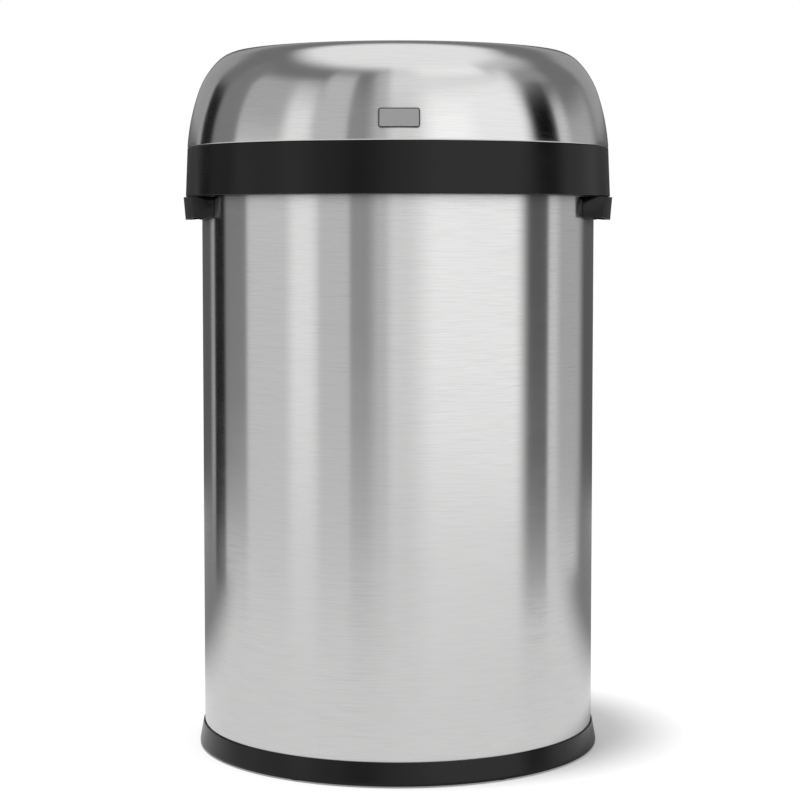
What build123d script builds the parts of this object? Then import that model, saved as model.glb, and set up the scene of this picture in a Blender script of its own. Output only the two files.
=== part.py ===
from build123d import *
from math import acos, atan2, cos, degrees, hypot, radians, sin, sqrt
import os

# Round open-top waste can: a steel drum on a black base, with a collar, a hinged lid made of a
# band and a steel dome with a mouth in its top, two side grips and a lift-out bag ring.
# Millimetres, +Z up. The origin is the middle of the footprint on the floor. The badge faces -Y,
# the lid's hinge is at +Y, and the grips are at +X and -X.

# Steel sheet
sheet = 0.8
sheet_bend = 1.6

# Drum
drum_radius = 200.0
drum_height = 588.0
drum_flange_width = 20.0

# Base ring
base_flare = 5.0
base_lip = 1.4
base_kick = 2.5
base_wall = 3.0
base_skirt_depth = 6.5
base_ledge = 3.0
base_ledge_width = 24.0
base_socket_depth = 12.7
base_socket_gap = 0.2
base_rim_recess = 0.5
base_rib_count = 24
base_rib_thickness = 2.0
base_rib_recess = 1.5
base_edge_round = 1.0

# Rubber feet
foot_count = 6
foot_radius = 11.0
foot_height = 1.9
foot_recess = 0.4
foot_seat_border = 1.5
foot_inset = 15.0
foot_stem_radius = 4.0
foot_stem_length = 5.0
foot_stem_gap = 0.1
foot_edge_round = 0.5

# Floor pan
pan_gap = 0.3
pan_rim_height = 18.2

# Collar on the drum's top edge
collar_wall = 3.0
collar_gap = 0.3
collar_leg = 33.0
collar_bridge = 4.0
collar_lip = 3.1
collar_lip_thickness = 3.0
collar_boss_radius = 5.0
collar_boss_depth = 3.7
collar_screw_drop = 14.0

# Bag ring
ring_wall = 2.5
ring_flange = 2.0
ring_depth = 30.0
ring_rest_gap = 0.2
ring_overlap = 2.6
ring_side_gap = 4.9
ring_tab_width = 44.0
ring_tab_reach = 12.0
ring_tab_round = 6.0

# Lid band
band_overhang = 16.45
band_draft = 2.05
band_height = 48.95
band_wall = 2.5
band_shelf = 2.5
band_shelf_width = 12.0
band_edge_round = 0.7
gusset_count = 24
gusset_thickness = 2.0
gusset_height = 18.0
gusset_reach = 4.5

# Pads under the lid
pad_count = 6
pad_radius = 3.0
pad_height = 5.0
pad_rest_gap = 0.2
pad_inset = 3.2
pad_edge_round = 0.75
pad_stem_radius = 1.5
pad_stem_length = 2.3
pad_stem_gap = 0.05

# Dome: the wall's lean towards the axis at the ends of its three arcs, and their radii
dome_leans = (4.3, 19.0, 44.3, 74.5)
dome_side_radius = 214.8
dome_shoulder_radius = 82.4
dome_crown_radius = 35.0
dome_flange_width = 14.4
curl_radius = 3.0
curl_end_lean = 300.0

# Badge on the dome's front
badge_width = 38.4
badge_height = 18.2
badge_border = 0.75
badge_corner = 2.2
badge_rise = 21.0
badge_seat = 0.4
badge_frame_proud = 0.9
badge_plate_proud = 1.5
badge_bevel = 0.4
badge_fit_gap = 0.05
badge_pin_radius = 1.3
badge_pin_spacing = 24.0
badge_pin_reach = 5.0
badge_pin_gap = 0.1
push_nut_radius = 4.0
push_nut_thickness = 0.6
push_nut_depth = 1.6

# Side grips
grip_gap = 0.85
grip_height = 22.6
grip_reach = 18.7
grip_draft = 1.9
grip_wall = 3.0
grip_back_wall = 2.5
grip_half_length = 78.5
grip_end_spread = 3.9
grip_arch = 2.1
grip_screw_angle = 20.0
grip_screw_drop = 10.0
grip_boss_radius = 4.8
grip_boss_length = 11.0
mount_gap = 0.3

# Stiffening plates inside the drum
plate_thickness = 1.5
plate_gap = 0.3
plate_height = 16.0
plate_margin = 8.0

# Lid hinge
hinge_offset = 6.55
hinge_drop = 5.75
hinge_pin_radius = 2.5
hinge_running_gap = 0.05
knuckle_radius = 6.0
knuckle_inset = 4.5
knuckle_gap = 0.5
knuckle_web_top = 4.5
bracket_width = 112.0
bracket_height = 22.6
bracket_gap = 0.85
bracket_set_back = 8.0
bracket_edge_round = 1.2
bracket_screw_spacing = 28.0
bracket_screw_drop = 12.0
bracket_screw_count = 4
arm_width = 50.0
arm_height = 38.0
arm_thickness = 3.15
arm_web_height = 13.0
arm_screw_angle = 4.3
arm_screw_heights = (12.0, 30.0)
arm_seat_gap = 0.2
arm_corner_round = 5.0
arm_web_angle = 45.0
lid_open_angle = 100.0
stop_spare_angle = 0.8
heel_length = 10.0
heel_thickness = 4.0
heel_width = 24.0
pin_overhang = 3.5
pin_chamfer = 0.5
clip_thickness = 0.8
clip_radius = 4.6
clip_setback = 0.8
clip_groove_depth = 0.4
clip_slot = 3.2
clip_gap = 0.05

# Screws: all are pan heads, and their shanks are drawn at the root of the thread
screw_head_radius = 4.0
screw_head_height = 2.4
screw_head_round = 1.1
screw_root_radius = 1.7
screw_tip_chamfer = 0.85
screw_recess_width = 1.0
screw_recess_length = 4.4
screw_recess_depth = 1.3
screw_hole_radius = 2.2
screw_pilot_gap = 0.05
screw_tip_gap = 0.4
screw_count = 8
seat_gap = 0.05
base_screw_length = 9.0
base_screw_inset = 13.0
collar_screw_length = 9.8
dome_screw_length = 6.0
grip_screw_length = 12.0
bracket_screw_length = 12.0
arm_screw_length = 5.5
boss_wall = 2.8

# How far a cut passes beyond the piece that it cuts
cut_spare = 1.0

# Levels and radii that follow from the sizes above
base_bottom = foot_height - foot_recess
ledge_underside = base_bottom + base_skirt_depth
ledge_top = ledge_underside + base_ledge
base_top = ledge_top + base_socket_depth
drum_top = ledge_top + drum_height
drum_inner = drum_radius - sheet
pan_top = ledge_top + 2 * sheet
collar_top = drum_top + collar_bridge
collar_inner = drum_inner - collar_gap - collar_wall
collar_outer = drum_radius + collar_gap + collar_wall
collar_screw_level = drum_top - collar_screw_drop
ring_bottom_face = collar_top + ring_rest_gap
ring_top = ring_bottom_face + ring_flange
ring_outer = collar_inner - ring_side_gap
shelf_underside = collar_top + pad_rest_gap + pad_height
band_top = shelf_underside + band_shelf
band_bottom = band_top - band_height
band_bottom_radius = drum_radius + band_overhang
band_top_radius = band_bottom_radius - band_draft
shelf_inner = band_top_radius - band_wall - band_shelf_width
base_screw_circle = drum_radius - base_screw_inset
foot_circle = drum_radius - foot_inset + base_flare
pilot_radius = screw_root_radius + screw_pilot_gap
boss_radius = pilot_radius + boss_wall
grip_top = band_bottom - grip_gap
grip_screw_level = grip_top - grip_screw_drop
hinge_y = band_bottom_radius + hinge_offset
hinge_z = band_bottom - hinge_drop
bracket_top = band_bottom - bracket_gap
bracket_face = hinge_y - bracket_set_back
bracket_screw_level = bracket_top - bracket_screw_drop
knuckle_start = arm_width / 2 + knuckle_gap
knuckle_end = bracket_width / 2 - knuckle_inset
plate_inner = drum_inner - plate_gap - plate_thickness
arm_screw_levels = [band_bottom + height for height in arm_screw_heights]
core_radius = drum_radius / 2

# Angles of the patterns about the can's axis
screw_angles = [360 / screw_count * (i + 0.5) for i in range(screw_count)]
foot_angles = [360 / foot_count * i for i in range(foot_count)]
pad_angles = [360 / pad_count * (i + 0.5) for i in range(pad_count)]
bracket_screw_offsets = [
    bracket_screw_spacing * (i - (bracket_screw_count - 1) / 2) for i in range(bracket_screw_count)
]
bracket_screw_angles = [90 + degrees(atan2(x, drum_radius)) for x in bracket_screw_offsets]
arm_screw_angles = [90 - arm_screw_angle, 90 + arm_screw_angle]
grip_screw_angles = [-grip_screw_angle, grip_screw_angle]

FROM_BASE = (Align.CENTER, Align.CENTER, Align.MIN)


def band_radius_at(level):
    """The band's outer radius at a level."""
    return band_bottom_radius - band_draft * (level - band_bottom) / band_height


def band_inside_at(level):
    """The band's inner radius at a level."""
    return band_radius_at(level) - band_wall


def radial_planes(radius, level, angles, inward=False):
    """Planes on an upright wall of this radius, which face away from the axis or towards it."""
    planes = []
    for angle in angles:
        out = Vector(cos(radians(angle)), sin(radians(angle)), 0)
        planes.append(
            Plane(out * radius + Vector(0, 0, level), x_dir=(0, 0, 1), z_dir=out * (-1 if inward else 1))
        )
    return planes


def level_planes(radius, level, angles, down=False):
    """Level planes on a circle about the axis, which face up or down."""
    facing = (0, 0, -1) if down else (0, 0, 1)
    return [
        Plane((radius * cos(radians(a)), radius * sin(radians(a)), level), x_dir=(1, 0, 0), z_dir=facing)
        for a in angles
    ]


def ring_edge(piece, radius, level):
    """The round edge of a turned piece that is nearest to this radius and level."""
    rings = piece.edges().filter_by(GeomType.CIRCLE)
    return rings.sort_by(lambda ring: hypot(ring.radius - radius, ring.center().Z - level))[0]


def drill(planes, radius, wall):
    """Cuts a round hole at each plane, through the wall that starts there."""
    with Locations(*planes):
        with Locations((0, 0, -cut_spare)):
            Cylinder(radius, wall + 2 * cut_spare, align=FROM_BASE, mode=Mode.SUBTRACT)


def dome_arcs():
    """The dome's outer meridian as arcs: centre radius, centre level, arc radius, start and end lean."""
    start = dome_leans[0]
    centre_r = band_top_radius - sheet_bend * cos(radians(start))
    centre_z = band_top + sheet_bend
    arcs = [(centre_r, centre_z, sheet_bend, -90.0, start)]
    arc_radii = (dome_side_radius, dome_shoulder_radius, dome_crown_radius)
    sizes = list(zip(arc_radii, dome_leans[:-1], dome_leans[1:]))
    sizes.append((curl_radius, dome_leans[-1], curl_end_lean))
    radius = sheet_bend
    for next_radius, lean, end_lean in sizes:
        centre_r += (radius - next_radius) * cos(radians(lean))
        centre_z += (radius - next_radius) * sin(radians(lean))
        arcs.append((centre_r, centre_z, next_radius, lean, end_lean))
        radius = next_radius
    return arcs


def dome_meridian(depth):
    """Draws the dome's meridian this deep under its outer face and returns its two ends."""
    edges = [
        CenterArc((r, z), radius - depth, start, end - start) for r, z, radius, start, end in dome_arcs()
    ]
    return edges[0] @ 0, edges[-1] @ 1


def write(part, name):
    """Labels a finished sub-part and writes it as a STEP file."""
    part.label = name
    export_step(part, f"parts/{name}.step")


# Pan-head screw, seat at its origin, head upwards
def pan_screw(length):
    with BuildPart() as screw:
        Cylinder(screw_head_radius, screw_head_height, align=FROM_BASE)
        fillet(screw.edges().filter_by(GeomType.CIRCLE).group_by(Axis.Z)[-1], screw_head_round)
        Cylinder(screw_root_radius, length, align=(Align.CENTER, Align.CENTER, Align.MAX))
        chamfer(screw.edges().filter_by(GeomType.CIRCLE).group_by(Axis.Z)[0], screw_tip_chamfer)
        with BuildSketch(Plane.XY.offset(screw_head_height)):
            Rectangle(screw_recess_length, screw_recess_width)
            Rectangle(screw_recess_width, screw_recess_length)
        extrude(amount=-screw_recess_depth, mode=Mode.SUBTRACT)
    return screw.part


# Drum: rolled sheet with an inward flange at the bottom
with BuildPart() as body_shell:
    with BuildSketch(Plane.XZ):
        with BuildLine():
            Polyline(
                (drum_radius - drum_flange_width, ledge_top),
                (drum_radius, ledge_top),
                (drum_radius, drum_top),
                (drum_inner, drum_top),
                (drum_inner, ledge_top + sheet),
                (drum_radius - drum_flange_width, ledge_top + sheet),
                close=True,
            )
        make_face()
    revolve(axis=Axis.Z)
    fillet(ring_edge(body_shell, drum_radius, ledge_top), sheet_bend)
    fillet(ring_edge(body_shell, drum_inner, ledge_top + sheet), sheet_bend - sheet)
    drill(radial_planes(drum_inner, collar_screw_level, screw_angles), screw_hole_radius, sheet)
    for side in (0, 180):
        angles = [side + a for a in grip_screw_angles]
        drill(radial_planes(drum_inner, grip_screw_level, angles), screw_hole_radius, sheet)
    drill(radial_planes(drum_inner, bracket_screw_level, bracket_screw_angles), screw_hole_radius, sheet)
    drill(level_planes(base_screw_circle, ledge_top, screw_angles), screw_hole_radius, sheet)
write(body_shell.part, "body_shell")

# Base ring: flared skirt, socket for the drum, ledge under it, ribs, foot seats and screw bosses
base_foot_radius = drum_radius + base_flare
skirt_inner = base_foot_radius - base_wall
ledge_inner = drum_radius - base_ledge_width
rim_outer = ledge_inner + base_wall
socket_radius = drum_radius + base_socket_gap
rib_inner = rim_outer - base_wall / 2
rib_outer = skirt_inner + base_wall / 2
with BuildPart() as base_ring:
    with BuildSketch(Plane.XZ):
        with BuildLine():
            Polyline(
                (base_foot_radius, base_bottom),
                (base_foot_radius, base_bottom + base_kick),
                (drum_radius + base_lip, base_top),
                (socket_radius, base_top),
                (socket_radius, ledge_top),
                (ledge_inner, ledge_top),
                (ledge_inner, base_bottom + base_rim_recess),
                (rim_outer, base_bottom + base_rim_recess),
                (rim_outer, ledge_underside),
                (skirt_inner, ledge_underside),
                (skirt_inner, base_bottom),
                close=True,
            )
        make_face()
    revolve(axis=Axis.Z)
    fillet(ring_edge(base_ring, base_foot_radius, base_bottom), base_edge_round)
    with BuildSketch(Plane.XY.offset(base_bottom + base_rib_recess)):
        with PolarLocations((rib_inner + rib_outer) / 2, base_rib_count):
            Rectangle(rib_outer - rib_inner, base_rib_thickness)
    extrude(amount=ledge_underside - base_bottom - base_rib_recess)
    with BuildSketch(Plane.XY.offset(foot_height)):
        with PolarLocations(foot_circle, foot_count):
            Circle(foot_radius + foot_seat_border)
    extrude(amount=ledge_underside - foot_height)
    with BuildSketch(Plane.XY.offset(base_bottom + base_rim_recess)):
        with PolarLocations(base_screw_circle, screw_count, start_angle=screw_angles[0]):
            Circle(boss_radius)
    extrude(amount=ledge_underside - base_bottom - base_rim_recess)
    with Locations(*level_planes(foot_circle, foot_height, foot_angles)):
        Cylinder(
            foot_stem_radius + foot_stem_gap, foot_stem_length + foot_stem_gap,
            align=FROM_BASE, mode=Mode.SUBTRACT,
        )
    screw_tip = pan_top - base_screw_length - screw_tip_gap
    with Locations(*level_planes(base_screw_circle, screw_tip, screw_angles)):
        Cylinder(pilot_radius, ledge_top - screw_tip, align=FROM_BASE, mode=Mode.SUBTRACT)
write(base_ring.part, "base_ring")

# Rubber feet: one puck with a stem, at each seat
with BuildPart() as foot:
    Cylinder(foot_radius, foot_height, align=FROM_BASE)
    fillet(foot.edges().filter_by(GeomType.CIRCLE).group_by(Axis.Z)[0], foot_edge_round)
    with BuildSketch(Plane.XY.offset(foot_height)):
        Circle(foot_stem_radius)
    extrude(amount=foot_stem_length)
with BuildPart() as rubber_feet:
    with Locations(*level_planes(foot_circle, 0, foot_angles)):
        add(foot.part)
write(rubber_feet.part, "rubber_feet")

# Floor pan: a shallow dish on the drum's flange
pan_radius = drum_inner - pan_gap
with BuildPart() as floor_pan:
    with BuildSketch(Plane.XZ):
        with BuildLine():
            Polyline(
                (0, ledge_top + sheet),
                (pan_radius, ledge_top + sheet),
                (pan_radius, ledge_top + sheet + pan_rim_height),
                (pan_radius - sheet, ledge_top + sheet + pan_rim_height),
                (pan_radius - sheet, pan_top),
                (0, pan_top),
                close=True,
            )
        make_face()
    revolve(axis=Axis.Z)
    fillet(ring_edge(floor_pan, pan_radius, ledge_top + sheet), sheet_bend)
    fillet(ring_edge(floor_pan, pan_radius - sheet, pan_top), sheet_bend - sheet)
    drill(level_planes(base_screw_circle, ledge_top + sheet, screw_angles), screw_hole_radius, sheet)
write(floor_pan.part, "floor_pan")

with BuildPart() as base_screws:
    base_screw = pan_screw(base_screw_length)
    with Locations(*level_planes(base_screw_circle, pan_top, screw_angles)):
        add(base_screw)
write(base_screws.part, "base_screws")

# Collar: a channel that caps the drum's top edge, with bosses for the screws from inside
with BuildPart() as collar:
    with BuildSketch(Plane.XZ):
        with BuildLine():
            Polyline(
                (collar_inner, drum_top - collar_leg),
                (drum_inner - collar_gap, drum_top - collar_leg),
                (drum_inner - collar_gap, drum_top),
                (drum_radius + collar_gap, drum_top),
                (drum_radius + collar_gap, drum_top - collar_leg),
                (collar_outer, drum_top - collar_leg),
                (collar_outer, collar_top - collar_lip_thickness),
                (collar_outer + collar_lip, collar_top - collar_lip_thickness),
                (collar_outer + collar_lip, collar_top),
                (collar_inner, collar_top),
                close=True,
            )
        make_face()
    revolve(axis=Axis.Z)
    with Locations(*radial_planes(collar_outer - collar_wall / 2, collar_screw_level, screw_angles)):
        Cylinder(collar_boss_radius, collar_wall / 2 + collar_boss_depth, align=FROM_BASE)
    inner_leg = radial_planes(collar_inner, collar_screw_level, screw_angles)
    drill(inner_leg, screw_hole_radius, collar_wall)
    with Locations(*inner_leg):
        Cylinder(
            pilot_radius, collar_screw_length + screw_tip_gap - seat_gap,
            align=FROM_BASE, mode=Mode.SUBTRACT,
        )
write(collar.part, "collar")

with BuildPart() as collar_screws:
    collar_screw = pan_screw(collar_screw_length)
    with Locations(*radial_planes(collar_inner - seat_gap, collar_screw_level, screw_angles, inward=True)):
        add(collar_screw)
write(collar_screws.part, "collar_screws")

# Bag ring: a short sleeve with a flange that rests on the collar, and two lifting tabs
ring_inner = ring_outer - ring_wall
with BuildPart() as liner_ring:
    with BuildSketch(Plane.XZ):
        with BuildLine():
            Polyline(
                (ring_inner, ring_top - ring_depth),
                (ring_outer, ring_top - ring_depth),
                (ring_outer, ring_bottom_face),
                (collar_inner + ring_overlap, ring_bottom_face),
                (collar_inner + ring_overlap, ring_top),
                (ring_inner, ring_top),
                close=True,
            )
        make_face()
    revolve(axis=Axis.Z)
    with BuildSketch(Plane.XY.offset(ring_bottom_face)):
        with PolarLocations(ring_inner + ring_wall / 2, 2):
            Rectangle(ring_tab_reach + ring_wall / 2, ring_tab_width, align=(Align.MAX, Align.CENTER))
        tab_tip = ring_inner - ring_tab_reach
        fillet(vertices().filter_by_position(Axis.X, -tab_tip, tab_tip), ring_tab_round)
    extrude(amount=ring_flange)
write(liner_ring.part, "liner_ring")

# Band's outer volume, which the hinge arm is fitted to
with BuildPart() as band_volume:
    with BuildSketch(Plane.XZ):
        with BuildLine():
            Polyline(
                (0, band_bottom),
                (band_bottom_radius, band_bottom),
                (band_top_radius, band_top),
                (0, band_top),
                close=True,
            )
        make_face()
    revolve(axis=Axis.Z)

# Lid band: drafted skirt, shelf for the dome, and gussets between them
with BuildPart() as gusset:
    gusset_foot = shelf_underside - gusset_height
    gusset_tip = band_inside_at(shelf_underside) - gusset_reach
    with BuildSketch(Plane.XZ):
        with BuildLine():
            Polyline(
                (band_inside_at(gusset_foot) + band_wall / 2, gusset_foot),
                (band_inside_at(shelf_underside) + band_wall / 2, shelf_underside + band_shelf / 2),
                (gusset_tip, shelf_underside + band_shelf / 2),
                (gusset_tip, shelf_underside),
                (band_inside_at(gusset_foot), gusset_foot),
                close=True,
            )
        make_face()
    extrude(amount=gusset_thickness / 2, both=True)
with BuildPart() as lid_band:
    with BuildSketch(Plane.XZ):
        with BuildLine():
            Polyline(
                (band_bottom_radius, band_bottom),
                (band_top_radius, band_top),
                (shelf_inner, band_top),
                (shelf_inner, shelf_underside),
                (band_inside_at(shelf_underside), shelf_underside),
                (band_inside_at(band_bottom), band_bottom),
                close=True,
            )
        make_face()
    revolve(axis=Axis.Z)
    fillet(ring_edge(lid_band, band_bottom_radius, band_bottom), band_edge_round)
    fillet(ring_edge(lid_band, band_inside_at(band_bottom), band_bottom), band_edge_round)
    fillet(ring_edge(lid_band, band_top_radius, band_top), band_edge_round)
    with PolarLocations(0, gusset_count):
        add(gusset.part)
    dome_screw_circle = (shelf_inner + band_inside_at(shelf_underside)) / 2
    pad_circle = shelf_inner + pad_inset
    drill(level_planes(dome_screw_circle, shelf_underside, screw_angles), screw_hole_radius, band_shelf)
    drill(level_planes(pad_circle, shelf_underside, pad_angles), pad_stem_radius + pad_stem_gap, band_shelf)
    for level in arm_screw_levels:
        seats = radial_planes(band_inside_at(level), level, arm_screw_angles)
        drill(seats, screw_hole_radius, band_wall)
write(lid_band.part, "lid_band")

# Pads that the lid rests on
with BuildPart() as pad:
    Cylinder(pad_radius, pad_height, align=(Align.CENTER, Align.CENTER, Align.MAX))
    fillet(pad.edges().filter_by(GeomType.CIRCLE).group_by(Axis.Z)[0], pad_edge_round)
    Cylinder(pad_stem_radius, pad_stem_length, align=FROM_BASE)
with BuildPart() as lid_pads:
    with Locations(*level_planes(pad_circle, shelf_underside, pad_angles)):
        add(pad.part)
write(lid_pads.part, "lid_pads")

# Place and slope of the badge on the dome's front
side_r, side_z, side_radius, _, _ = dome_arcs()[1]
badge_lean = degrees(acos(sqrt(1 - ((band_top + badge_rise - side_z) / side_radius) ** 2)))
badge_lean = badge_lean if band_top + badge_rise > side_z else -badge_lean
badge_origin = Vector(
    0, -(side_r + side_radius * cos(radians(badge_lean))), side_z + side_radius * sin(radians(badge_lean))
)
badge_normal = Vector(0, -cos(radians(badge_lean)), sin(radians(badge_lean)))
badge_plane = Plane(badge_origin, x_dir=(1, 0, 0), z_dir=badge_normal)
badge_pins = [(-badge_pin_spacing / 2, 0), (badge_pin_spacing / 2, 0)]

# Dome: spun sheet on an inward flange, curled under at the mouth
with BuildPart() as lid_dome:
    with BuildSketch(Plane.XZ):
        with BuildLine():
            outer_foot, outer_tip = dome_meridian(0)
            inner_foot, inner_tip = dome_meridian(sheet)
            flange_end = band_top_radius - dome_flange_width
            Polyline(outer_foot, (flange_end, band_top), (flange_end, band_top + sheet), inner_foot)
            Line(outer_tip, inner_tip)
        make_face()
    revolve(axis=Axis.Z)
    drill(level_planes(dome_screw_circle, band_top, screw_angles), pilot_radius, sheet)
    with BuildSketch(badge_plane.offset(-badge_pin_reach)):
        with Locations(*badge_pins):
            Circle(badge_pin_radius + badge_pin_gap)
    extrude(amount=2 * badge_pin_reach, mode=Mode.SUBTRACT)
write(lid_dome.part, "lid_dome")

with BuildPart() as lid_dome_screws:
    dome_screw = pan_screw(dome_screw_length)
    with Locations(*level_planes(dome_screw_circle, shelf_underside, screw_angles, down=True)):
        add(dome_screw)
write(lid_dome_screws.part, "lid_dome_screws")

# Dome's outer volume below its shoulder, which the badge's frame is fitted to
with BuildPart() as dome_volume:
    with BuildSketch(Plane.XZ):
        with BuildLine():
            wall = CenterArc((side_r, side_z), side_radius, dome_leans[0], dome_leans[1] - dome_leans[0])
            Polyline(wall @ 1, (0, (wall @ 1).Y), (0, (wall @ 0).Y), wall @ 0)
        make_face()
    revolve(axis=Axis.Z)

# Badge: a black frame that follows the dome, and a bare bevelled plate with two pins
with BuildPart() as badge_frame:
    with BuildSketch(badge_plane.offset(-badge_plate_proud)):
        RectangleRounded(badge_width, badge_height, badge_corner)
    extrude(amount=badge_plate_proud + badge_frame_proud)
    with BuildSketch(badge_plane.offset(badge_seat)):
        RectangleRounded(
            badge_width - 2 * badge_border, badge_height - 2 * badge_border, badge_corner - badge_border
        )
    extrude(amount=badge_plate_proud, mode=Mode.SUBTRACT)
    add(dome_volume.part, mode=Mode.SUBTRACT)
    with BuildSketch(badge_plane.offset(-badge_pin_reach)):
        with Locations(*badge_pins):
            Circle(badge_pin_radius + badge_pin_gap)
    extrude(amount=2 * badge_pin_reach, mode=Mode.SUBTRACT)
write(badge_frame.part, "badge_frame")

with BuildPart() as badge_plate:
    with BuildSketch(badge_plane.offset(badge_seat)):
        plate_border = badge_border + badge_fit_gap
        RectangleRounded(
            badge_width - 2 * plate_border, badge_height - 2 * plate_border, badge_corner - plate_border
        )
    extrude(amount=badge_plate_proud - badge_seat)
    front = badge_plate.faces().sort_by(Axis(badge_origin, badge_normal))[-1]
    chamfer(front.edges(), badge_bevel)
    with BuildSketch(badge_plane.offset(badge_seat)):
        with Locations(*badge_pins):
            Circle(badge_pin_radius)
    extrude(amount=-badge_pin_reach)
write(badge_plate.part, "badge_plate")

with BuildPart() as badge_push_nuts:
    with BuildSketch(badge_plane.offset(-push_nut_depth)):
        with Locations(*badge_pins):
            Circle(push_nut_radius)
            Circle(badge_pin_radius, mode=Mode.SUBTRACT)
    extrude(amount=-push_nut_thickness)
write(badge_push_nuts.part, "badge_push_nuts")


def grip_plan(inset):
    """Corners of a grip's outline from above, taken in by this much at its two ends."""
    slope = grip_end_spread / (band_bottom_radius - drum_radius)
    outer_x = drum_radius + grip_reach
    half = grip_half_length - inset
    tip_x = sqrt(outer_x**2 - half**2)
    far_half = half - slope * (outer_x - tip_x)
    near_half = half + slope * (tip_x - core_radius)
    return [(core_radius, -near_half), (outer_x, -far_half), (outer_x, far_half), (core_radius, near_half)]


# Right grip: a drafted shell, open underneath for the fingers, with two screw bosses
grip_root = drum_radius + mount_gap
grip_floor = grip_top - grip_height
with BuildPart() as grip_hollow:
    with BuildSketch(Plane.XZ):
        with BuildLine():
            Polyline(
                (grip_root + grip_back_wall, grip_top - grip_wall),
                (drum_radius + grip_reach - grip_wall, grip_top - grip_wall),
                (drum_radius + grip_reach - grip_draft - grip_wall, grip_floor),
                (drum_radius + grip_reach - grip_draft - grip_wall, grip_floor - cut_spare),
                (grip_root + grip_back_wall, grip_floor - cut_spare),
                close=True,
            )
        make_face()
    revolve(axis=Axis.Z)
    with BuildSketch(Plane.XY.offset(grip_floor - cut_spare)):
        with BuildLine():
            Polyline(*grip_plan(grip_wall), close=True)
        make_face()
    extrude(amount=grip_height + cut_spare, mode=Mode.INTERSECT)
    with Locations(*radial_planes(drum_radius, grip_screw_level, grip_screw_angles)):
        Cylinder(grip_boss_radius, grip_boss_length, align=FROM_BASE, mode=Mode.SUBTRACT)
with BuildPart() as handle_right:
    with BuildSketch(Plane.XZ):
        with BuildLine():
            Polyline(
                (grip_root, grip_top),
                (drum_radius + grip_reach, grip_top),
                (drum_radius + grip_reach - grip_draft, grip_floor),
                (grip_root, grip_floor),
                close=True,
            )
        make_face()
    revolve(axis=Axis.Z)
    with BuildSketch(Plane.XY.offset(grip_floor)):
        with BuildLine():
            Polyline(*grip_plan(0), close=True)
        make_face()
    extrude(amount=grip_height, mode=Mode.INTERSECT)
    arch_half = grip_half_length + 2 * grip_end_spread
    arch_end = grip_floor + grip_arch * (arch_half / grip_half_length) ** 2
    with BuildSketch(Plane.YZ):
        with BuildLine():
            ThreePointArc((-arch_half, arch_end), (0, grip_floor), (arch_half, arch_end))
            Polyline(
                (arch_half, arch_end), (arch_half, grip_top), (-arch_half, grip_top), (-arch_half, arch_end)
            )
        make_face()
    extrude(amount=2 * drum_radius, mode=Mode.INTERSECT)
    add(grip_hollow.part, mode=Mode.SUBTRACT)
    with Locations(*radial_planes(drum_radius, grip_screw_level, grip_screw_angles)):
        Cylinder(
            pilot_radius, plate_inner - seat_gap + grip_screw_length + screw_tip_gap - drum_radius,
            align=FROM_BASE, mode=Mode.SUBTRACT,
        )
write(handle_right.part, "handle_right")

with BuildPart() as handle_left:
    add(handle_right.part, rotation=(0, 0, 180))
write(handle_left.part, "handle_left")

# Stiffening plates behind the grips, curved to the drum
plate_half_span = drum_radius * sin(radians(grip_screw_angle)) + plate_margin
with BuildPart() as handle_plate_right:
    with BuildSketch(Plane.XZ):
        with Locations((plate_inner, grip_screw_level)):
            Rectangle(plate_thickness, plate_height, align=(Align.MIN, Align.CENTER))
    revolve(axis=Axis.Z)
    with BuildSketch(Plane.XY.offset(grip_screw_level - plate_height)):
        Rectangle(drum_radius, 2 * plate_half_span, align=(Align.MIN, Align.CENTER))
    extrude(amount=2 * plate_height, mode=Mode.INTERSECT)
    drill(radial_planes(plate_inner, grip_screw_level, grip_screw_angles), screw_hole_radius, plate_thickness)
write(handle_plate_right.part, "handle_plate_right")

with BuildPart() as handle_plate_left:
    add(handle_plate_right.part, rotation=(0, 0, 180))
write(handle_plate_left.part, "handle_plate_left")

with BuildPart() as handle_screws_right:
    grip_screw = pan_screw(grip_screw_length)
    with Locations(*radial_planes(plate_inner - seat_gap, grip_screw_level, grip_screw_angles, inward=True)):
        add(grip_screw)
write(handle_screws_right.part, "handle_screws_right")

with BuildPart() as handle_screws_left:
    add(handle_screws_right.part, rotation=(0, 0, 180))
write(handle_screws_left.part, "handle_screws_left")

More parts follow.
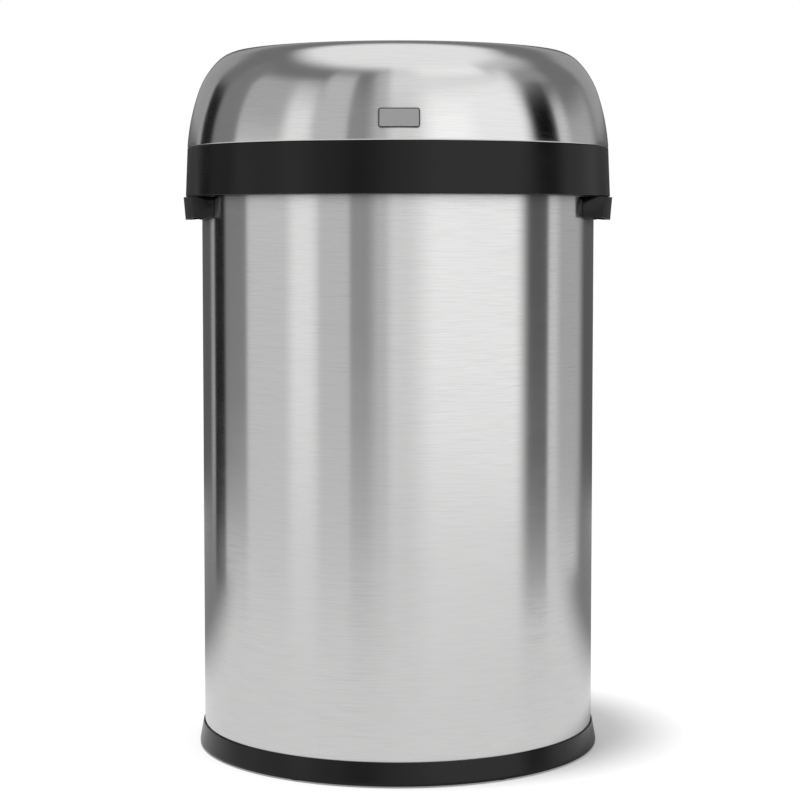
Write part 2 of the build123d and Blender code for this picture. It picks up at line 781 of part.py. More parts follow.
# Hinge bracket: a cast block on the drum's back, with two knuckles
with BuildPart() as hinge_bracket:
    with BuildSketch(Plane.XY.offset(bracket_top - bracket_height)):
        with BuildLine():
            Polyline(
                (-bracket_width / 2, core_radius),
                (-bracket_width / 2, bracket_face - sheet_bend),
                (-knuckle_end, bracket_face),
                (knuckle_end, bracket_face),
                (bracket_width / 2, bracket_face - sheet_bend),
                (bracket_width / 2, core_radius),
                close=True,
            )
        make_face()
    extrude(amount=bracket_height)
    with BuildSketch(Plane.XY.offset(bracket_top - bracket_height - cut_spare)):
        Circle(drum_radius + mount_gap)
    extrude(amount=bracket_height + 2 * cut_spare, mode=Mode.SUBTRACT)
    face_edges = hinge_bracket.edges().filter_by(Axis.X).group_by(Axis.Y)[-1]
    fillet(face_edges, bracket_edge_round)
    for start in (knuckle_start, -knuckle_end):
        with BuildSketch(Plane.YZ.offset(start)):
            with Locations((hinge_y, hinge_z)):
                Circle(knuckle_radius)
            with Locations((hinge_y, hinge_z - knuckle_radius)):
                Rectangle(
                    bracket_set_back + 2 * bracket_edge_round, knuckle_radius + knuckle_web_top,
                    align=(Align.MAX, Align.MIN),
                )
            with Locations((hinge_y, hinge_z)):
                Circle(hinge_pin_radius + hinge_running_gap, mode=Mode.SUBTRACT)
        extrude(amount=knuckle_end - knuckle_start)
    with Locations(*radial_planes(drum_radius, bracket_screw_level, bracket_screw_angles)):
        Cylinder(
            pilot_radius, plate_inner - seat_gap + bracket_screw_length + screw_tip_gap - drum_radius,
            align=FROM_BASE, mode=Mode.SUBTRACT,
        )
write(hinge_bracket.part, "hinge_bracket")

bracket_plate_half = bracket_screw_offsets[-1] + plate_margin
with BuildPart() as hinge_plate:
    with BuildSketch(Plane.XZ):
        with Locations((plate_inner, bracket_screw_level)):
            Rectangle(plate_thickness, plate_height, align=(Align.MIN, Align.CENTER))
    revolve(axis=Axis.Z)
    with BuildSketch(Plane.XY.offset(bracket_screw_level - plate_height)):
        Rectangle(2 * bracket_plate_half, 2 * drum_radius, align=(Align.CENTER, Align.MIN))
    extrude(amount=2 * plate_height, mode=Mode.INTERSECT)
    seats = radial_planes(plate_inner, bracket_screw_level, bracket_screw_angles)
    drill(seats, screw_hole_radius, plate_thickness)
write(hinge_plate.part, "hinge_plate")

with BuildPart() as hinge_bracket_screws:
    bracket_screw = pan_screw(bracket_screw_length)
    seats = radial_planes(plate_inner - seat_gap, bracket_screw_level, bracket_screw_angles, inward=True)
    with Locations(*seats):
        add(bracket_screw)
write(hinge_bracket_screws.part, "hinge_bracket_screws")

# Hinge arm on the band's back: plate, centre knuckle, and a heel that stops the lid when open
arm_top = band_bottom + arm_height
arm_face = band_bottom_radius + arm_thickness
corner_radius = hypot(heel_length, heel_thickness / 2)
heel_lead = degrees(atan2(heel_thickness / 2, heel_length))
heel_at_stop = degrees(acos(bracket_set_back / corner_radius)) + heel_lead
heel_angle = 180 + heel_at_stop + lid_open_angle + stop_spare_angle
web_y = hinge_y + knuckle_radius * cos(radians(arm_web_angle))
web_z = hinge_z + knuckle_radius * sin(radians(arm_web_angle))
with BuildPart() as hinge_arm:
    with BuildSketch(Plane.YZ):
        with BuildLine():
            Polyline(
                (core_radius, arm_top),
                (arm_face, arm_top),
                (arm_face, band_bottom + arm_web_height),
                (web_y, web_z),
                (hinge_y, hinge_z),
                (hinge_y - knuckle_radius, hinge_z),
                (band_bottom_radius, band_bottom),
                (core_radius, band_bottom),
                close=True,
            )
        make_face()
        with Locations((hinge_y, hinge_z)):
            Circle(knuckle_radius)
    extrude(amount=arm_width / 2, both=True)
    add(band_volume.part, mode=Mode.SUBTRACT)
    upper_corners = hinge_arm.edges().filter_by(Axis.Y).group_by(Axis.Z)[-1]
    fillet(upper_corners, arm_corner_round)
    with BuildSketch(Plane.YZ):
        with Locations((hinge_y, hinge_z)):
            Rectangle(heel_length, heel_thickness, rotation=heel_angle, align=(Align.MIN, Align.CENTER))
    extrude(amount=heel_width / 2, both=True)
    with BuildSketch(Plane.YZ):
        with Locations((hinge_y, hinge_z)):
            Circle(hinge_pin_radius + hinge_running_gap)
    extrude(amount=arm_width, both=True, mode=Mode.SUBTRACT)
    for level in arm_screw_levels:
        seat_radius = band_inside_at(level) - arm_seat_gap
        with Locations(*radial_planes(seat_radius, level, arm_screw_angles)):
            Cylinder(pilot_radius, arm_screw_length + screw_tip_gap, align=FROM_BASE, mode=Mode.SUBTRACT)
write(hinge_arm.part, "hinge_arm")

with BuildPart() as hinge_arm_screws:
    arm_screw = pan_screw(arm_screw_length)
    for level in arm_screw_levels:
        seat_radius = band_inside_at(level) - arm_seat_gap
        with Locations(*radial_planes(seat_radius, level, arm_screw_angles, inward=True)):
            add(arm_screw)
write(hinge_arm_screws.part, "hinge_arm_screws")

# Hinge pin with a groove near each end, and the two clips that hold it
pin_half = knuckle_end + pin_overhang
groove_start = knuckle_end + clip_setback
with BuildPart() as hinge_pin:
    with BuildSketch(Plane.YZ.offset(-pin_half)):
        with Locations((hinge_y, hinge_z)):
            Circle(hinge_pin_radius)
    extrude(amount=2 * pin_half)
    chamfer(hinge_pin.edges().filter_by(GeomType.CIRCLE), pin_chamfer)
    for start in (groove_start, -groove_start - clip_thickness - clip_gap):
        with BuildSketch(Plane.YZ.offset(start)):
            with Locations((hinge_y, hinge_z)):
                Circle(hinge_pin_radius + clip_gap)
                Circle(hinge_pin_radius - clip_groove_depth, mode=Mode.SUBTRACT)
        extrude(amount=clip_thickness + clip_gap, mode=Mode.SUBTRACT)
write(hinge_pin.part, "hinge_pin")

with BuildPart() as hinge_pin_clips:
    for start in (groove_start + clip_gap / 2, -groove_start - clip_thickness - clip_gap / 2):
        with BuildSketch(Plane.YZ.offset(start)):
            with Locations((hinge_y, hinge_z)):
                Circle(clip_radius)
                Circle(hinge_pin_radius - clip_groove_depth, mode=Mode.SUBTRACT)
                Rectangle(clip_slot, 2 * clip_radius, align=(Align.CENTER, Align.MAX), mode=Mode.SUBTRACT)
        extrude(amount=clip_thickness)
write(hinge_pin_clips.part, "hinge_pin_clips")
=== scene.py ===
import logging
import math
from dataclasses import dataclass, field
from enum import Enum
from typing import Callable, Iterable, Sequence

import bpy
from mathutils import Matrix, Vector


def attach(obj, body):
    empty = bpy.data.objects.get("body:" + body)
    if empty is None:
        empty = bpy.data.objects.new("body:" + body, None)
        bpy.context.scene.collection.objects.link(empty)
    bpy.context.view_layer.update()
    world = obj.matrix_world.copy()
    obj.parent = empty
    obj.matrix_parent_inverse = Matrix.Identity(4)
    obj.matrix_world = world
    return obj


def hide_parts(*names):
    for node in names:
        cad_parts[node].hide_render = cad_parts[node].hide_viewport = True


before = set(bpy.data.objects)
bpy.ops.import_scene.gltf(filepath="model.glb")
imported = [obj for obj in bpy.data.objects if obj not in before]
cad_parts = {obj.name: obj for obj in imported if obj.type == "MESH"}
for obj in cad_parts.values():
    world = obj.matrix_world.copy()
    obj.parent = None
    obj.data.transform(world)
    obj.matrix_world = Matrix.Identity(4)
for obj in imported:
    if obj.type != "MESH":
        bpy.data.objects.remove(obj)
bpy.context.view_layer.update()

# A round open-top waste can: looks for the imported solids, in the same frame and in metres.
# Sizes are written in millimetres and turned into metres where the meshes are made.

MM = 0.001
Point = tuple[float, float]
Span = tuple[float, float]
Piece = bpy.types.Object
Material = bpy.types.Material
Node = bpy.types.Node
Socket = bpy.types.NodeSocket
LOG = logging.getLogger("waste_can")


class Body(Enum):
    """Rigid bodies that a piece can ride on."""

    CAN = "can"
    LID = "lid"
    BAG_RING = "liner_ring"


class Slot(Enum):
    """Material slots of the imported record."""

    BRUSHED_STEEL = "brushed_steel"
    GALVANISED_STEEL = "galvanised_steel"
    BLACK_PLASTIC = "black_plastic"
    RING_PLASTIC = "ring_plastic"
    BLACK_RUBBER = "black_rubber"
    BLACK_METAL = "black_metal"
    BRIGHT_STEEL = "bright_steel"
    SCREW_ZINC = "screw_zinc"
    BADGE_METAL = "badge_metal"
    BADGE_BLACK = "badge_black"


class Side(Enum):
    """Side of the can, seen from the front."""

    RIGHT = 1
    LEFT = -1


# Outlines of turned pieces


@dataclass(frozen=True)
class Corner:
    """A corner of a turned piece's outline, in millimetres, with the radius of its rounding."""

    radius: float
    level: float
    round: float = 0.0


def rounded_outline(corners: Sequence[Corner], steps: int = 5, guard: float = 0.6) -> list[Point]:
    """Rounds the corners of a closed outline and guards each flat run with a point near its ends.

    Args:
        corners: The outline's corners in order.
        steps: Segments in each rounding.
        guard: Distance of the guard points from a run's ends, in millimetres.

    Returns:
        Points of the outline in order, without the first one repeated.
    """
    count = len(corners)
    pieces: list[list[Vector]] = []
    for i, corner in enumerate(corners):
        here = Vector((corner.radius, corner.level))
        before = Vector((corners[i - 1].radius, corners[i - 1].level))
        after = Vector((corners[(i + 1) % count].radius, corners[(i + 1) % count].level))
        to_before = (before - here).normalized()
        to_after = (after - here).normalized()
        half = to_before.angle(to_after) / 2
        if corner.round <= 0 or half > math.radians(89.5):
            pieces.append([here])
            continue
        setback = corner.round / math.tan(half)
        centre = here + (to_before + to_after).normalized() * (corner.round / math.sin(half))
        start = here + to_before * setback - centre
        turn = start.angle_signed(here + to_after * setback - centre)
        arc = []
        for k in range(steps + 1):
            angle = -turn * k / steps
            cos, sin = math.cos(angle), math.sin(angle)
            arc.append(centre + Vector((start.x * cos - start.y * sin, start.x * sin + start.y * cos)))
        pieces.append(arc)
    points: list[Point] = []
    for i, piece in enumerate(pieces):
        points += [(p.x, p.y) for p in piece]
        run_start, run_end = piece[-1], pieces[(i + 1) % count][0]
        run = run_end - run_start
        if run.length > 4 * guard:
            step = run.normalized() * guard
            points += [tuple(run_start + step), tuple(run_end - step)]
    return points


@dataclass(frozen=True)
class Arc:
    """One arc of a meridian: its centre, radius, and the lean of its normal at both ends, in degrees."""

    centre: Point
    radius: float
    start: float
    end: float

    def points(self, depth: float, spacing: float) -> list[Point]:
        """Points along the arc, this deep under it.

        Args:
            depth: Distance below the outer face, in millimetres.
            spacing: Largest angle between two points, in degrees.

        Returns:
            Points from the arc's start to its end.
        """
        count = max(2, math.ceil(abs(self.end - self.start) / spacing))
        leans = [self.start + (self.end - self.start) * k / count for k in range(count + 1)]
        reach = self.radius - depth
        return [
            (
                self.centre[0] + reach * math.cos(math.radians(lean)),
                self.centre[1] + reach * math.sin(math.radians(lean)),
            )
            for lean in leans
        ]


# Work at the bench: meshes made and finished with edit-mode operators


def deselect_all() -> None:
    """Leaves edit mode and clears the selection."""
    if bpy.context.object is not None and bpy.context.object.mode != "OBJECT":
        bpy.ops.object.mode_set(mode="OBJECT")
    bpy.ops.object.select_all(action="DESELECT")


def take(piece: Piece) -> None:
    """Selects one piece alone and makes it active."""
    deselect_all()
    piece.select_set(True)
    bpy.context.view_layer.objects.active = piece


def edit(piece: Piece, mode: str = "VERT") -> None:
    """Opens one piece in edit mode with nothing selected.

    Args:
        piece: The piece to open.
        mode: What is picked: VERT, EDGE or FACE.
    """
    take(piece)
    bpy.ops.object.mode_set(mode="EDIT")
    bpy.ops.mesh.select_mode(type=mode)
    bpy.ops.mesh.select_all(action="DESELECT")


def close_edit() -> None:
    """Goes back to object mode."""
    bpy.ops.object.mode_set(mode="OBJECT")


def pick_vertices(piece: Piece, wanted: Callable[[Vector], bool]) -> None:
    """Opens a piece in edit mode with the vertices at some places selected.

    Args:
        piece: The piece to open.
        wanted: Says whether a vertex at this place is selected.
    """
    edit(piece)
    close_edit()
    for vertex in piece.data.vertices:
        vertex.select = wanted(vertex.co)
    bpy.ops.object.mode_set(mode="EDIT")


def settle(piece: Piece) -> None:
    """Puts a piece's place, turn and scale into its mesh."""
    take(piece)
    bpy.ops.object.transform_apply(location=True, rotation=True, scale=True)


def apply_modifiers(piece: Piece) -> None:
    """Applies every modifier of a piece in order."""
    take(piece)
    for modifier in list(piece.modifiers):
        bpy.ops.object.modifier_apply(modifier=modifier.name)


def smooth(piece: Piece, angle: float = 35.0) -> None:
    """Shades a piece smooth, with sharp edges above this angle in degrees."""
    take(piece)
    bpy.ops.object.shade_smooth_by_angle(angle=math.radians(angle))


def merge_and_face_outwards(piece: Piece, distance: float = 5e-6) -> None:
    """Merges doubled vertices and turns all faces outwards.

    Args:
        piece: The piece to clean.
        distance: Vertices closer than this, in metres, become one.
    """
    edit(piece)
    bpy.ops.mesh.select_all(action="SELECT")
    bpy.ops.mesh.remove_doubles(threshold=distance)
    bpy.ops.mesh.normals_make_consistent(inside=False)
    close_edit()


def turned(name: str, outline: Sequence[Point], steps: int = 240, closed: bool = True) -> Piece:
    """Turns an outline about the can's axis, as on a lathe.

    Args:
        name: The new piece's name.
        outline: Radius and level of each point in millimetres.
        steps: Segments round the axis.
        closed: Whether the outline's last point joins its first.

    Returns:
        The turned piece, closed and facing outwards.
    """
    deselect_all()
    start = Vector((outline[0][0] * MM, 0, outline[0][1] * MM))
    bpy.ops.mesh.primitive_plane_add(size=MM, location=start)
    piece = bpy.context.object
    piece.name = name
    settle(piece)
    edit(piece)
    bpy.ops.mesh.select_all(action="SELECT")
    bpy.ops.mesh.merge(type="CENTER")
    path = list(outline[1:]) + ([outline[0]] if closed else [])
    place = start
    for radius, level in path:
        step = Vector((radius * MM, 0, level * MM)) - place
        bpy.ops.mesh.extrude_vertices_move(TRANSFORM_OT_translate={"value": step})
        place = place + step
    bpy.ops.mesh.select_all(action="SELECT")
    bpy.ops.mesh.remove_doubles(threshold=5e-6)
    bpy.ops.mesh.spin(steps=steps, angle=2 * math.pi, center=(0, 0, 0), axis=(0, 0, 1))
    close_edit()
    merge_and_face_outwards(piece)
    smooth(piece)
    return piece


def block(x: Span, width: float, z: Span) -> Piece:
    """Adds a block across the X axis, to be shaped further.

    Args:
        x: Its ends along X, in millimetres.
        width: Its width along Y.
        z: Its lowest and highest level.

    Returns:
        The block.
    """
    deselect_all()
    bpy.ops.mesh.primitive_cube_add(
        size=1.0,
        location=(sum(x) / 2 * MM, 0, sum(z) / 2 * MM),
        scale=((x[1] - x[0]) * MM, width * MM, (z[1] - z[0]) * MM),
    )
    settle(bpy.context.object)
    return bpy.context.object


def from_solid(name: str, node: str) -> Piece:
    """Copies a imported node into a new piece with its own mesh, merged into whole faces.

    Args:
        name: The new piece's name.
        node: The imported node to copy.

    Returns:
        The new piece.
    """
    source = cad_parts[node]
    piece = bpy.data.objects.new(name, source.data.copy())
    piece.data.materials.clear()
    bpy.context.scene.collection.objects.link(piece)
    edit(piece)
    bpy.ops.mesh.customdata_custom_splitnormals_clear()
    bpy.ops.mesh.select_all(action="SELECT")
    bpy.ops.mesh.remove_doubles(threshold=5e-6)
    bpy.ops.mesh.dissolve_limited(angle_limit=math.radians(0.5))
    close_edit()
    return piece


def rounded(piece: Piece, width: float, limit: float = 40.0, segments: int = 3) -> None:
    """Rounds a piece's sharp edges and shades it.

    Args:
        piece: The piece to finish.
        width: Width of the rounding in millimetres.
        limit: Edges sharper than this many degrees are rounded.
        segments: Segments across a rounding.
    """
    bevel = piece.modifiers.new("edges", "BEVEL")
    bevel.width = width * MM
    bevel.segments = segments
    bevel.limit_method = "ANGLE"
    bevel.angle_limit = math.radians(limit)
    bevel.harden_normals = True
    apply_modifiers(piece)
    smooth(piece)


def copies_round(piece: Piece, angles: Iterable[float]) -> list[Piece]:
    """Copies a piece about the can's axis, each copy with its own mesh.

    Args:
        piece: The piece at angle 0.
        angles: Turn of each copy in degrees.

    Returns:
        The copies; the first piece itself is removed.
    """
    made = []
    for angle in angles:
        copy = bpy.data.objects.new(piece.name, piece.data.copy())
        bpy.context.scene.collection.objects.link(copy)
        copy.matrix_world = Matrix.Rotation(math.radians(angle), 4, "Z")
        settle(copy)
        made.append(copy)
    bpy.data.objects.remove(piece)
    return made


def joined(name: str, pieces: Sequence[Piece]) -> Piece:
    """Joins pieces into one object.

    Args:
        name: Name of the joined object.
        pieces: The pieces to join.

    Returns:
        The joined object, at the origin.
    """
    deselect_all()
    for piece in pieces:
        piece.select_set(True)
    bpy.context.view_layer.objects.active = pieces[0]
    if len(pieces) > 1:
        bpy.ops.object.join()
    whole = bpy.context.view_layer.objects.active
    whole.name = name
    settle(whole)
    return whole


# Shader nodes


class NodeBoard:
    """Adds and joins nodes in one node tree."""

    def __init__(self, tree: bpy.types.NodeTree) -> None:
        """Keeps the tree to work in."""
        self.tree = tree
        self.column = 0

    def add(self, kind: str, **settings: object) -> Node:
        """Adds a node.

        Args:
            kind: Blender's name of the node type.
            settings: Properties of the node.

        Returns:
            The new node.
        """
        node = self.tree.nodes.new(kind)
        node.location = (180 * self.column, 0)
        self.column += 1
        for key, value in settings.items():
            setattr(node, key, value)
        return node

    def put(self, socket: Socket, value: object) -> None:
        """Joins a socket to an output, or sets it to a plain value.

        Args:
            socket: The input to feed.
            value: An output, or the plain value.
        """
        if isinstance(value, Socket):
            self.tree.links.new(value, socket)
        else:
            socket.default_value = value

    def math(self, operation: str, *values: object, clamp: bool = False) -> Socket:
        """Adds a Math node.

        Args:
            operation: Blender's name of the operation.
            values: Numbers or outputs to work on.
            clamp: Whether the result stays between 0 and 1.

        Returns:
            The result's socket.
        """
        node = self.add("ShaderNodeMath", operation=operation, use_clamp=clamp)
        for socket, value in zip(node.inputs, values):
            self.put(socket, value)
        return node.outputs[0]

    def ramp(self, value: object, low: float, high: float, start: float, end: float) -> Socket:
        """Maps a value smoothly from one range to another.

        Args:
            value: The number or output to map.
            low: Value that gives start.
            high: Value that gives end.
            start: Result at low.
            end: Result at high.

        Returns:
            The result's socket.
        """
        node = self.add("ShaderNodeMapRange", interpolation_type="SMOOTHSTEP")
        labels = ("Value", "From Min", "From Max", "To Min", "To Max")
        for label, item in zip(labels, (value, low, high, start, end)):
            self.put(node.inputs[label], item)
        return node.outputs["Result"]

    def blend(self, factor: object, first: object, second: object) -> Socket:
        """Mixes two numbers by a factor.

        Args:
            factor: Share of the second, from 0 to 1.
            first: What factor 0 gives.
            second: What factor 1 gives.

        Returns:
            The result's socket.
        """
        node = self.add("ShaderNodeMix", data_type="FLOAT")
        self.put(node.inputs[0], factor)
        self.put(node.inputs[2], first)
        self.put(node.inputs[3], second)
        return node.outputs[0]

    def tint(self, factor: object, first: object, second: object) -> Socket:
        """Mixes two colours by a factor.

        Args:
            factor: Share of the second, from 0 to 1.
            first: What factor 0 gives.
            second: What factor 1 gives.

        Returns:
            The result's socket.
        """
        node = self.add("ShaderNodeMix", data_type="RGBA")
        self.put(node.inputs[0], factor)
        self.put(node.inputs[6], first)
        self.put(node.inputs[7], second)
        return node.outputs[2]

    def noise(self, vector: object, scale: float, detail: float = 2.0, rough: float = 0.5) -> Socket:
        """Adds a noise texture.

        Args:
            vector: Where the texture is read.
            scale: Waves per metre.
            detail: Octaves.
            rough: Strength of each finer octave.

        Returns:
            The noise's value socket.
        """
        node = self.add("ShaderNodeTexNoise")
        self.put(node.inputs["Vector"], vector)
        node.inputs["Scale"].default_value = scale
        node.inputs["Detail"].default_value = detail
        node.inputs["Roughness"].default_value = rough
        return node.outputs[0]


def new_group(name: str, inputs: dict[str, float], outputs: Sequence[str]) -> NodeBoard:
    """Starts a shader node group with named number sockets.

    Args:
        name: The group's name.
        inputs: Name and default of each input.
        outputs: Name of each output.

    Returns:
        A board on the group's tree, with its first node the group's input and its second the output.
    """
    tree = bpy.data.node_groups.new(name, "ShaderNodeTree")
    for label, default in inputs.items():
        socket = tree.interface.new_socket(label, in_out="INPUT", socket_type="NodeSocketFloat")
        socket.default_value = default
    for label in outputs:
        tree.interface.new_socket(label, in_out="OUTPUT", socket_type="NodeSocketFloat")
    board = NodeBoard(tree)
    board.add("NodeGroupInput")
    board.add("NodeGroupOutput")
    return board


class SharedEffects:
    """Node groups that more than one finish uses."""

    def __init__(self) -> None:
        """Builds every group once."""
        self.brush = self.brush_lines()
        self.grain = self.moulded_grain()
        self.handling = self.handling_marks()
        self.edges = self.edge_light()

    def brush_lines(self) -> bpy.types.NodeTree:
        """Fine lines that run round the axis on walls, slopes and level faces alike.

        Returns:
            The group, with a streak value and a height.
        """
        board = new_group("brush_lines", {"Along": 22.0, "Across": 1500.0}, ["Streak", "Height"])
        given, out = board.tree.nodes[0], board.tree.nodes[1]
        where = board.add("ShaderNodeTexCoord").outputs["Object"]
        split = board.add("ShaderNodeSeparateXYZ")
        board.put(split.inputs[0], where)
        x, y, z = split.outputs
        squares = board.math("MULTIPLY", x, x), board.math("MULTIPLY", y, y)
        radius = board.math("SQRT", board.math("ADD", *squares))
        slope = board.math("SUBTRACT", z, radius)
        along, across = given.outputs["Along"], given.outputs["Across"]
        streaks = []
        for stretch, share in ((1.0, 1.0), (2.6, 0.37)):
            spot = board.add("ShaderNodeCombineXYZ")
            runs = ((x, along, share * stretch), (y, along, share * stretch), (slope, across, share))
            for socket, (place, waves, factor) in zip(spot.inputs, runs):
                board.put(socket, board.math("MULTIPLY", board.math("MULTIPLY", place, waves), factor))
            streaks.append(board.noise(spot.outputs[0], 1.0, 3.0, 0.6))
        mixed = board.blend(0.4, streaks[0], streaks[1])
        board.put(out.inputs["Streak"], board.ramp(mixed, 0.3, 0.7, 0.0, 1.0))
        board.put(out.inputs["Height"], mixed)
        return board.tree

    def moulded_grain(self) -> bpy.types.NodeTree:
        """Fine leather-like grain of a moulded face.

        Returns:
            The group, with a height and a patchy value.
        """
        board = new_group("moulded_grain", {"Fineness": 1.0}, ["Height", "Patch"])
        given, out = board.tree.nodes[0], board.tree.nodes[1]
        where = board.add("ShaderNodeTexCoord").outputs["Object"]
        scaled = board.add("ShaderNodeVectorMath", operation="SCALE")
        board.put(scaled.inputs[0], where)
        board.put(scaled.inputs["Scale"], given.outputs["Fineness"])
        cells = board.add("ShaderNodeTexVoronoi", feature="SMOOTH_F1")
        board.put(cells.inputs["Vector"], scaled.outputs[0])
        cells.inputs["Scale"].default_value = 1400.0
        fine = board.noise(scaled.outputs[0], 2600.0, 2.0, 0.6)
        board.put(out.inputs["Height"], board.blend(0.45, cells.outputs["Distance"], fine))
        board.put(out.inputs["Patch"], board.noise(scaled.outputs[0], 9.0, 3.0, 0.55))
        return board.tree

    def handling_marks(self) -> bpy.types.NodeTree:
        """Soft patches and faint wipes left by cleaning and handling.

        Returns:
            The group, with one mask.
        """
        board = new_group("handling_marks", {"Size": 1.0}, ["Mask"])
        given, out = board.tree.nodes[0], board.tree.nodes[1]
        where = board.add("ShaderNodeTexCoord").outputs["Object"]
        scaled = board.add("ShaderNodeVectorMath", operation="SCALE")
        board.put(scaled.inputs[0], where)
        board.put(scaled.inputs["Scale"], given.outputs["Size"])
        patches = board.noise(scaled.outputs[0], 6.0, 4.0, 0.6)
        wipes = board.add("ShaderNodeTexNoise")
        stretch = board.add("ShaderNodeMapping")
        board.put(stretch.inputs["Vector"], scaled.outputs[0])
        stretch.inputs["Scale"].default_value = (7.0, 7.0, 34.0)
        board.put(wipes.inputs["Vector"], stretch.outputs[0])
        wipes.inputs["Scale"].default_value = 1.0
        wipes.inputs["Detail"].default_value = 4.0
        mixed = board.blend(0.4, patches, wipes.outputs[0])
        board.put(out.inputs["Mask"], board.ramp(mixed, 0.38, 0.66, 0.0, 1.0))
        return board.tree

    def edge_light(self) -> bpy.types.NodeTree:
        """A mask of a piece's edges, where the finishes lighten the colour.

        Returns:
            The group, with one mask.
        """
        board = new_group("edge_light", {"Width": 0.0008}, ["Mask"])
        given, out = board.tree.nodes[0], board.tree.nodes[1]
        bent = board.add("ShaderNodeBevel", samples=4)
        board.put(bent.inputs["Radius"], given.outputs["Width"])
        plain = board.add("ShaderNodeNewGeometry")
        product = board.add("ShaderNodeVectorMath", operation="DOT_PRODUCT")
        board.put(product.inputs[0], bent.outputs[0])
        board.put(product.inputs[1], plain.outputs["Normal"])
        board.put(out.inputs["Mask"], board.ramp(product.outputs["Value"], 0.99, 0.86, 0.0, 1.0))
        return board.tree


def place_group(board: NodeBoard, tree: bpy.types.NodeTree, **values: float) -> Node:
    """Places a shared group in a material.

    Args:
        board: The material's board.
        tree: The group.
        values: Values of its inputs, by name.

    Returns:
        The group's node.
    """
    node = board.add("ShaderNodeGroup", node_tree=tree)
    for key, value in values.items():
        node.inputs[key].default_value = value
    return node


@dataclass(frozen=True)
class Finish:
    """What every finish has: a name, a base colour and a roughness."""

    name: str
    colour: tuple[float, float, float]
    rough: float

    def make(self, effects: SharedEffects) -> Material:
        """Builds the material.

        Args:
            effects: The shared groups.

        Returns:
            The material.
        """
        material = bpy.data.materials.new(self.name)
        material.use_nodes = True
        material.node_tree.nodes.clear()
        board = NodeBoard(material.node_tree)
        shader = board.add("ShaderNodeBsdfPrincipled")
        output = board.add("ShaderNodeOutputMaterial")
        board.put(output.inputs["Surface"], shader.outputs[0])
        shader.inputs["Base Color"].default_value = (*self.colour, 1.0)
        shader.inputs["Roughness"].default_value = self.rough
        self.paint(effects, board, shader)
        return material

    def paint(self, effects: SharedEffects, board: NodeBoard, shader: Node) -> None:
        """Adds what this finish has of its own; a plain finish adds nothing.

        Args:
            effects: The shared groups.
            board: The material's board.
            shader: Its shader.
        """

    def raise_height(
        self, board: NodeBoard, shader: Node, height: Socket, depth: float, strength: float
    ) -> None:
        """Adds a Bump node in front of the shader's normal.

        Args:
            board: The material's board.
            shader: Its shader.
            height: Output that gives the height.
            depth: Height of the relief in millimetres.
            strength: Strength of the bump.
        """
        bump = board.add("ShaderNodeBump")
        bump.inputs["Distance"].default_value = depth * MM
        bump.inputs["Strength"].default_value = strength
        board.put(bump.inputs["Height"], height)
        board.put(shader.inputs["Normal"], bump.outputs[0])

    def shades(self, factor: object, board: NodeBoard, shader: Node, low: float, high: float) -> None:
        """Varies the base colour between two brightnesses of itself.

        Args:
            factor: Output that goes from 0 to 1.
            board: The material's board.
            shader: Its shader.
            low: Brightness at 0, as a share of the colour.
            high: Brightness at 1.
        """
        darker = tuple(c * low for c in self.colour) + (1.0,)
        lighter = tuple(min(1.0, c * high) for c in self.colour) + (1.0,)
        board.put(shader.inputs["Base Color"], board.tint(factor, darker, lighter))


@dataclass(frozen=True)
class BrushedSteel(Finish):
    """Stainless sheet with lines brushed round the can."""

    along: float = 34.0
    across: float = 2600.0
    stretch: float = 0.75
    # Painted shade under overhangs: how far it reaches in millimetres, and how dark it gets.
    painted_shade_reach: float = 26.0
    painted_shade_tone: float = 0.3

    def recess(self, board: NodeBoard) -> Socket:
        """Masks the steel that stands clear of an overhang; under the overhang the base colour gets a painted
        shade.

        Args:
            board: The material's board.

        Returns:
            A socket that is 1 in the open and 0 under the overhang.
        """
        shelter = board.add("ShaderNodeAmbientOcclusion", samples=8)
        shelter.inputs["Distance"].default_value = self.painted_shade_reach * MM
        return board.ramp(shelter.outputs["AO"], 0.35, 0.95, 0.0, 1.0)

    def paint(self, effects: SharedEffects, board: NodeBoard, shader: Node) -> None:
        """Adds brush lines, handling marks and a painted shade under overhangs, darkened into the base
        colour.

        Args:
            effects: The shared groups.
            board: The material's board.
            shader: Its shader.
        """
        shader.inputs["Metallic"].default_value = 1.0
        shader.inputs["Anisotropic"].default_value = self.stretch
        shader.inputs["Anisotropic Rotation"].default_value = 0.25
        lines = place_group(board, effects.brush, Along=self.along, Across=self.across)
        marks = place_group(board, effects.handling, Size=1.0)
        tangent = board.add("ShaderNodeTangent", direction_type="RADIAL", axis="Z")
        board.put(shader.inputs["Tangent"], tangent.outputs[0])
        lit = board.ramp(lines.outputs["Streak"], 0.0, 1.0, 0.93, 1.05)
        # Painted shade: the base colour darkens where the steel lies under an overhang, such as the lid
        # band's lower edge.
        painted_shade_and_streaks = board.math("MULTIPLY", board.blend(self.recess(board), self.painted_shade_tone, 1.0), lit)
        self.shades(painted_shade_and_streaks, board, shader, 0.0, 1.0)
        streaky = board.ramp(lines.outputs["Streak"], 0.0, 1.0, self.rough + 0.02, self.rough - 0.015)
        rough = board.math("MULTIPLY_ADD", marks.outputs["Mask"], 0.02, streaky)
        board.put(shader.inputs["Roughness"], rough)
        self.raise_height(board, shader, lines.outputs["Height"], 0.01, 0.3)


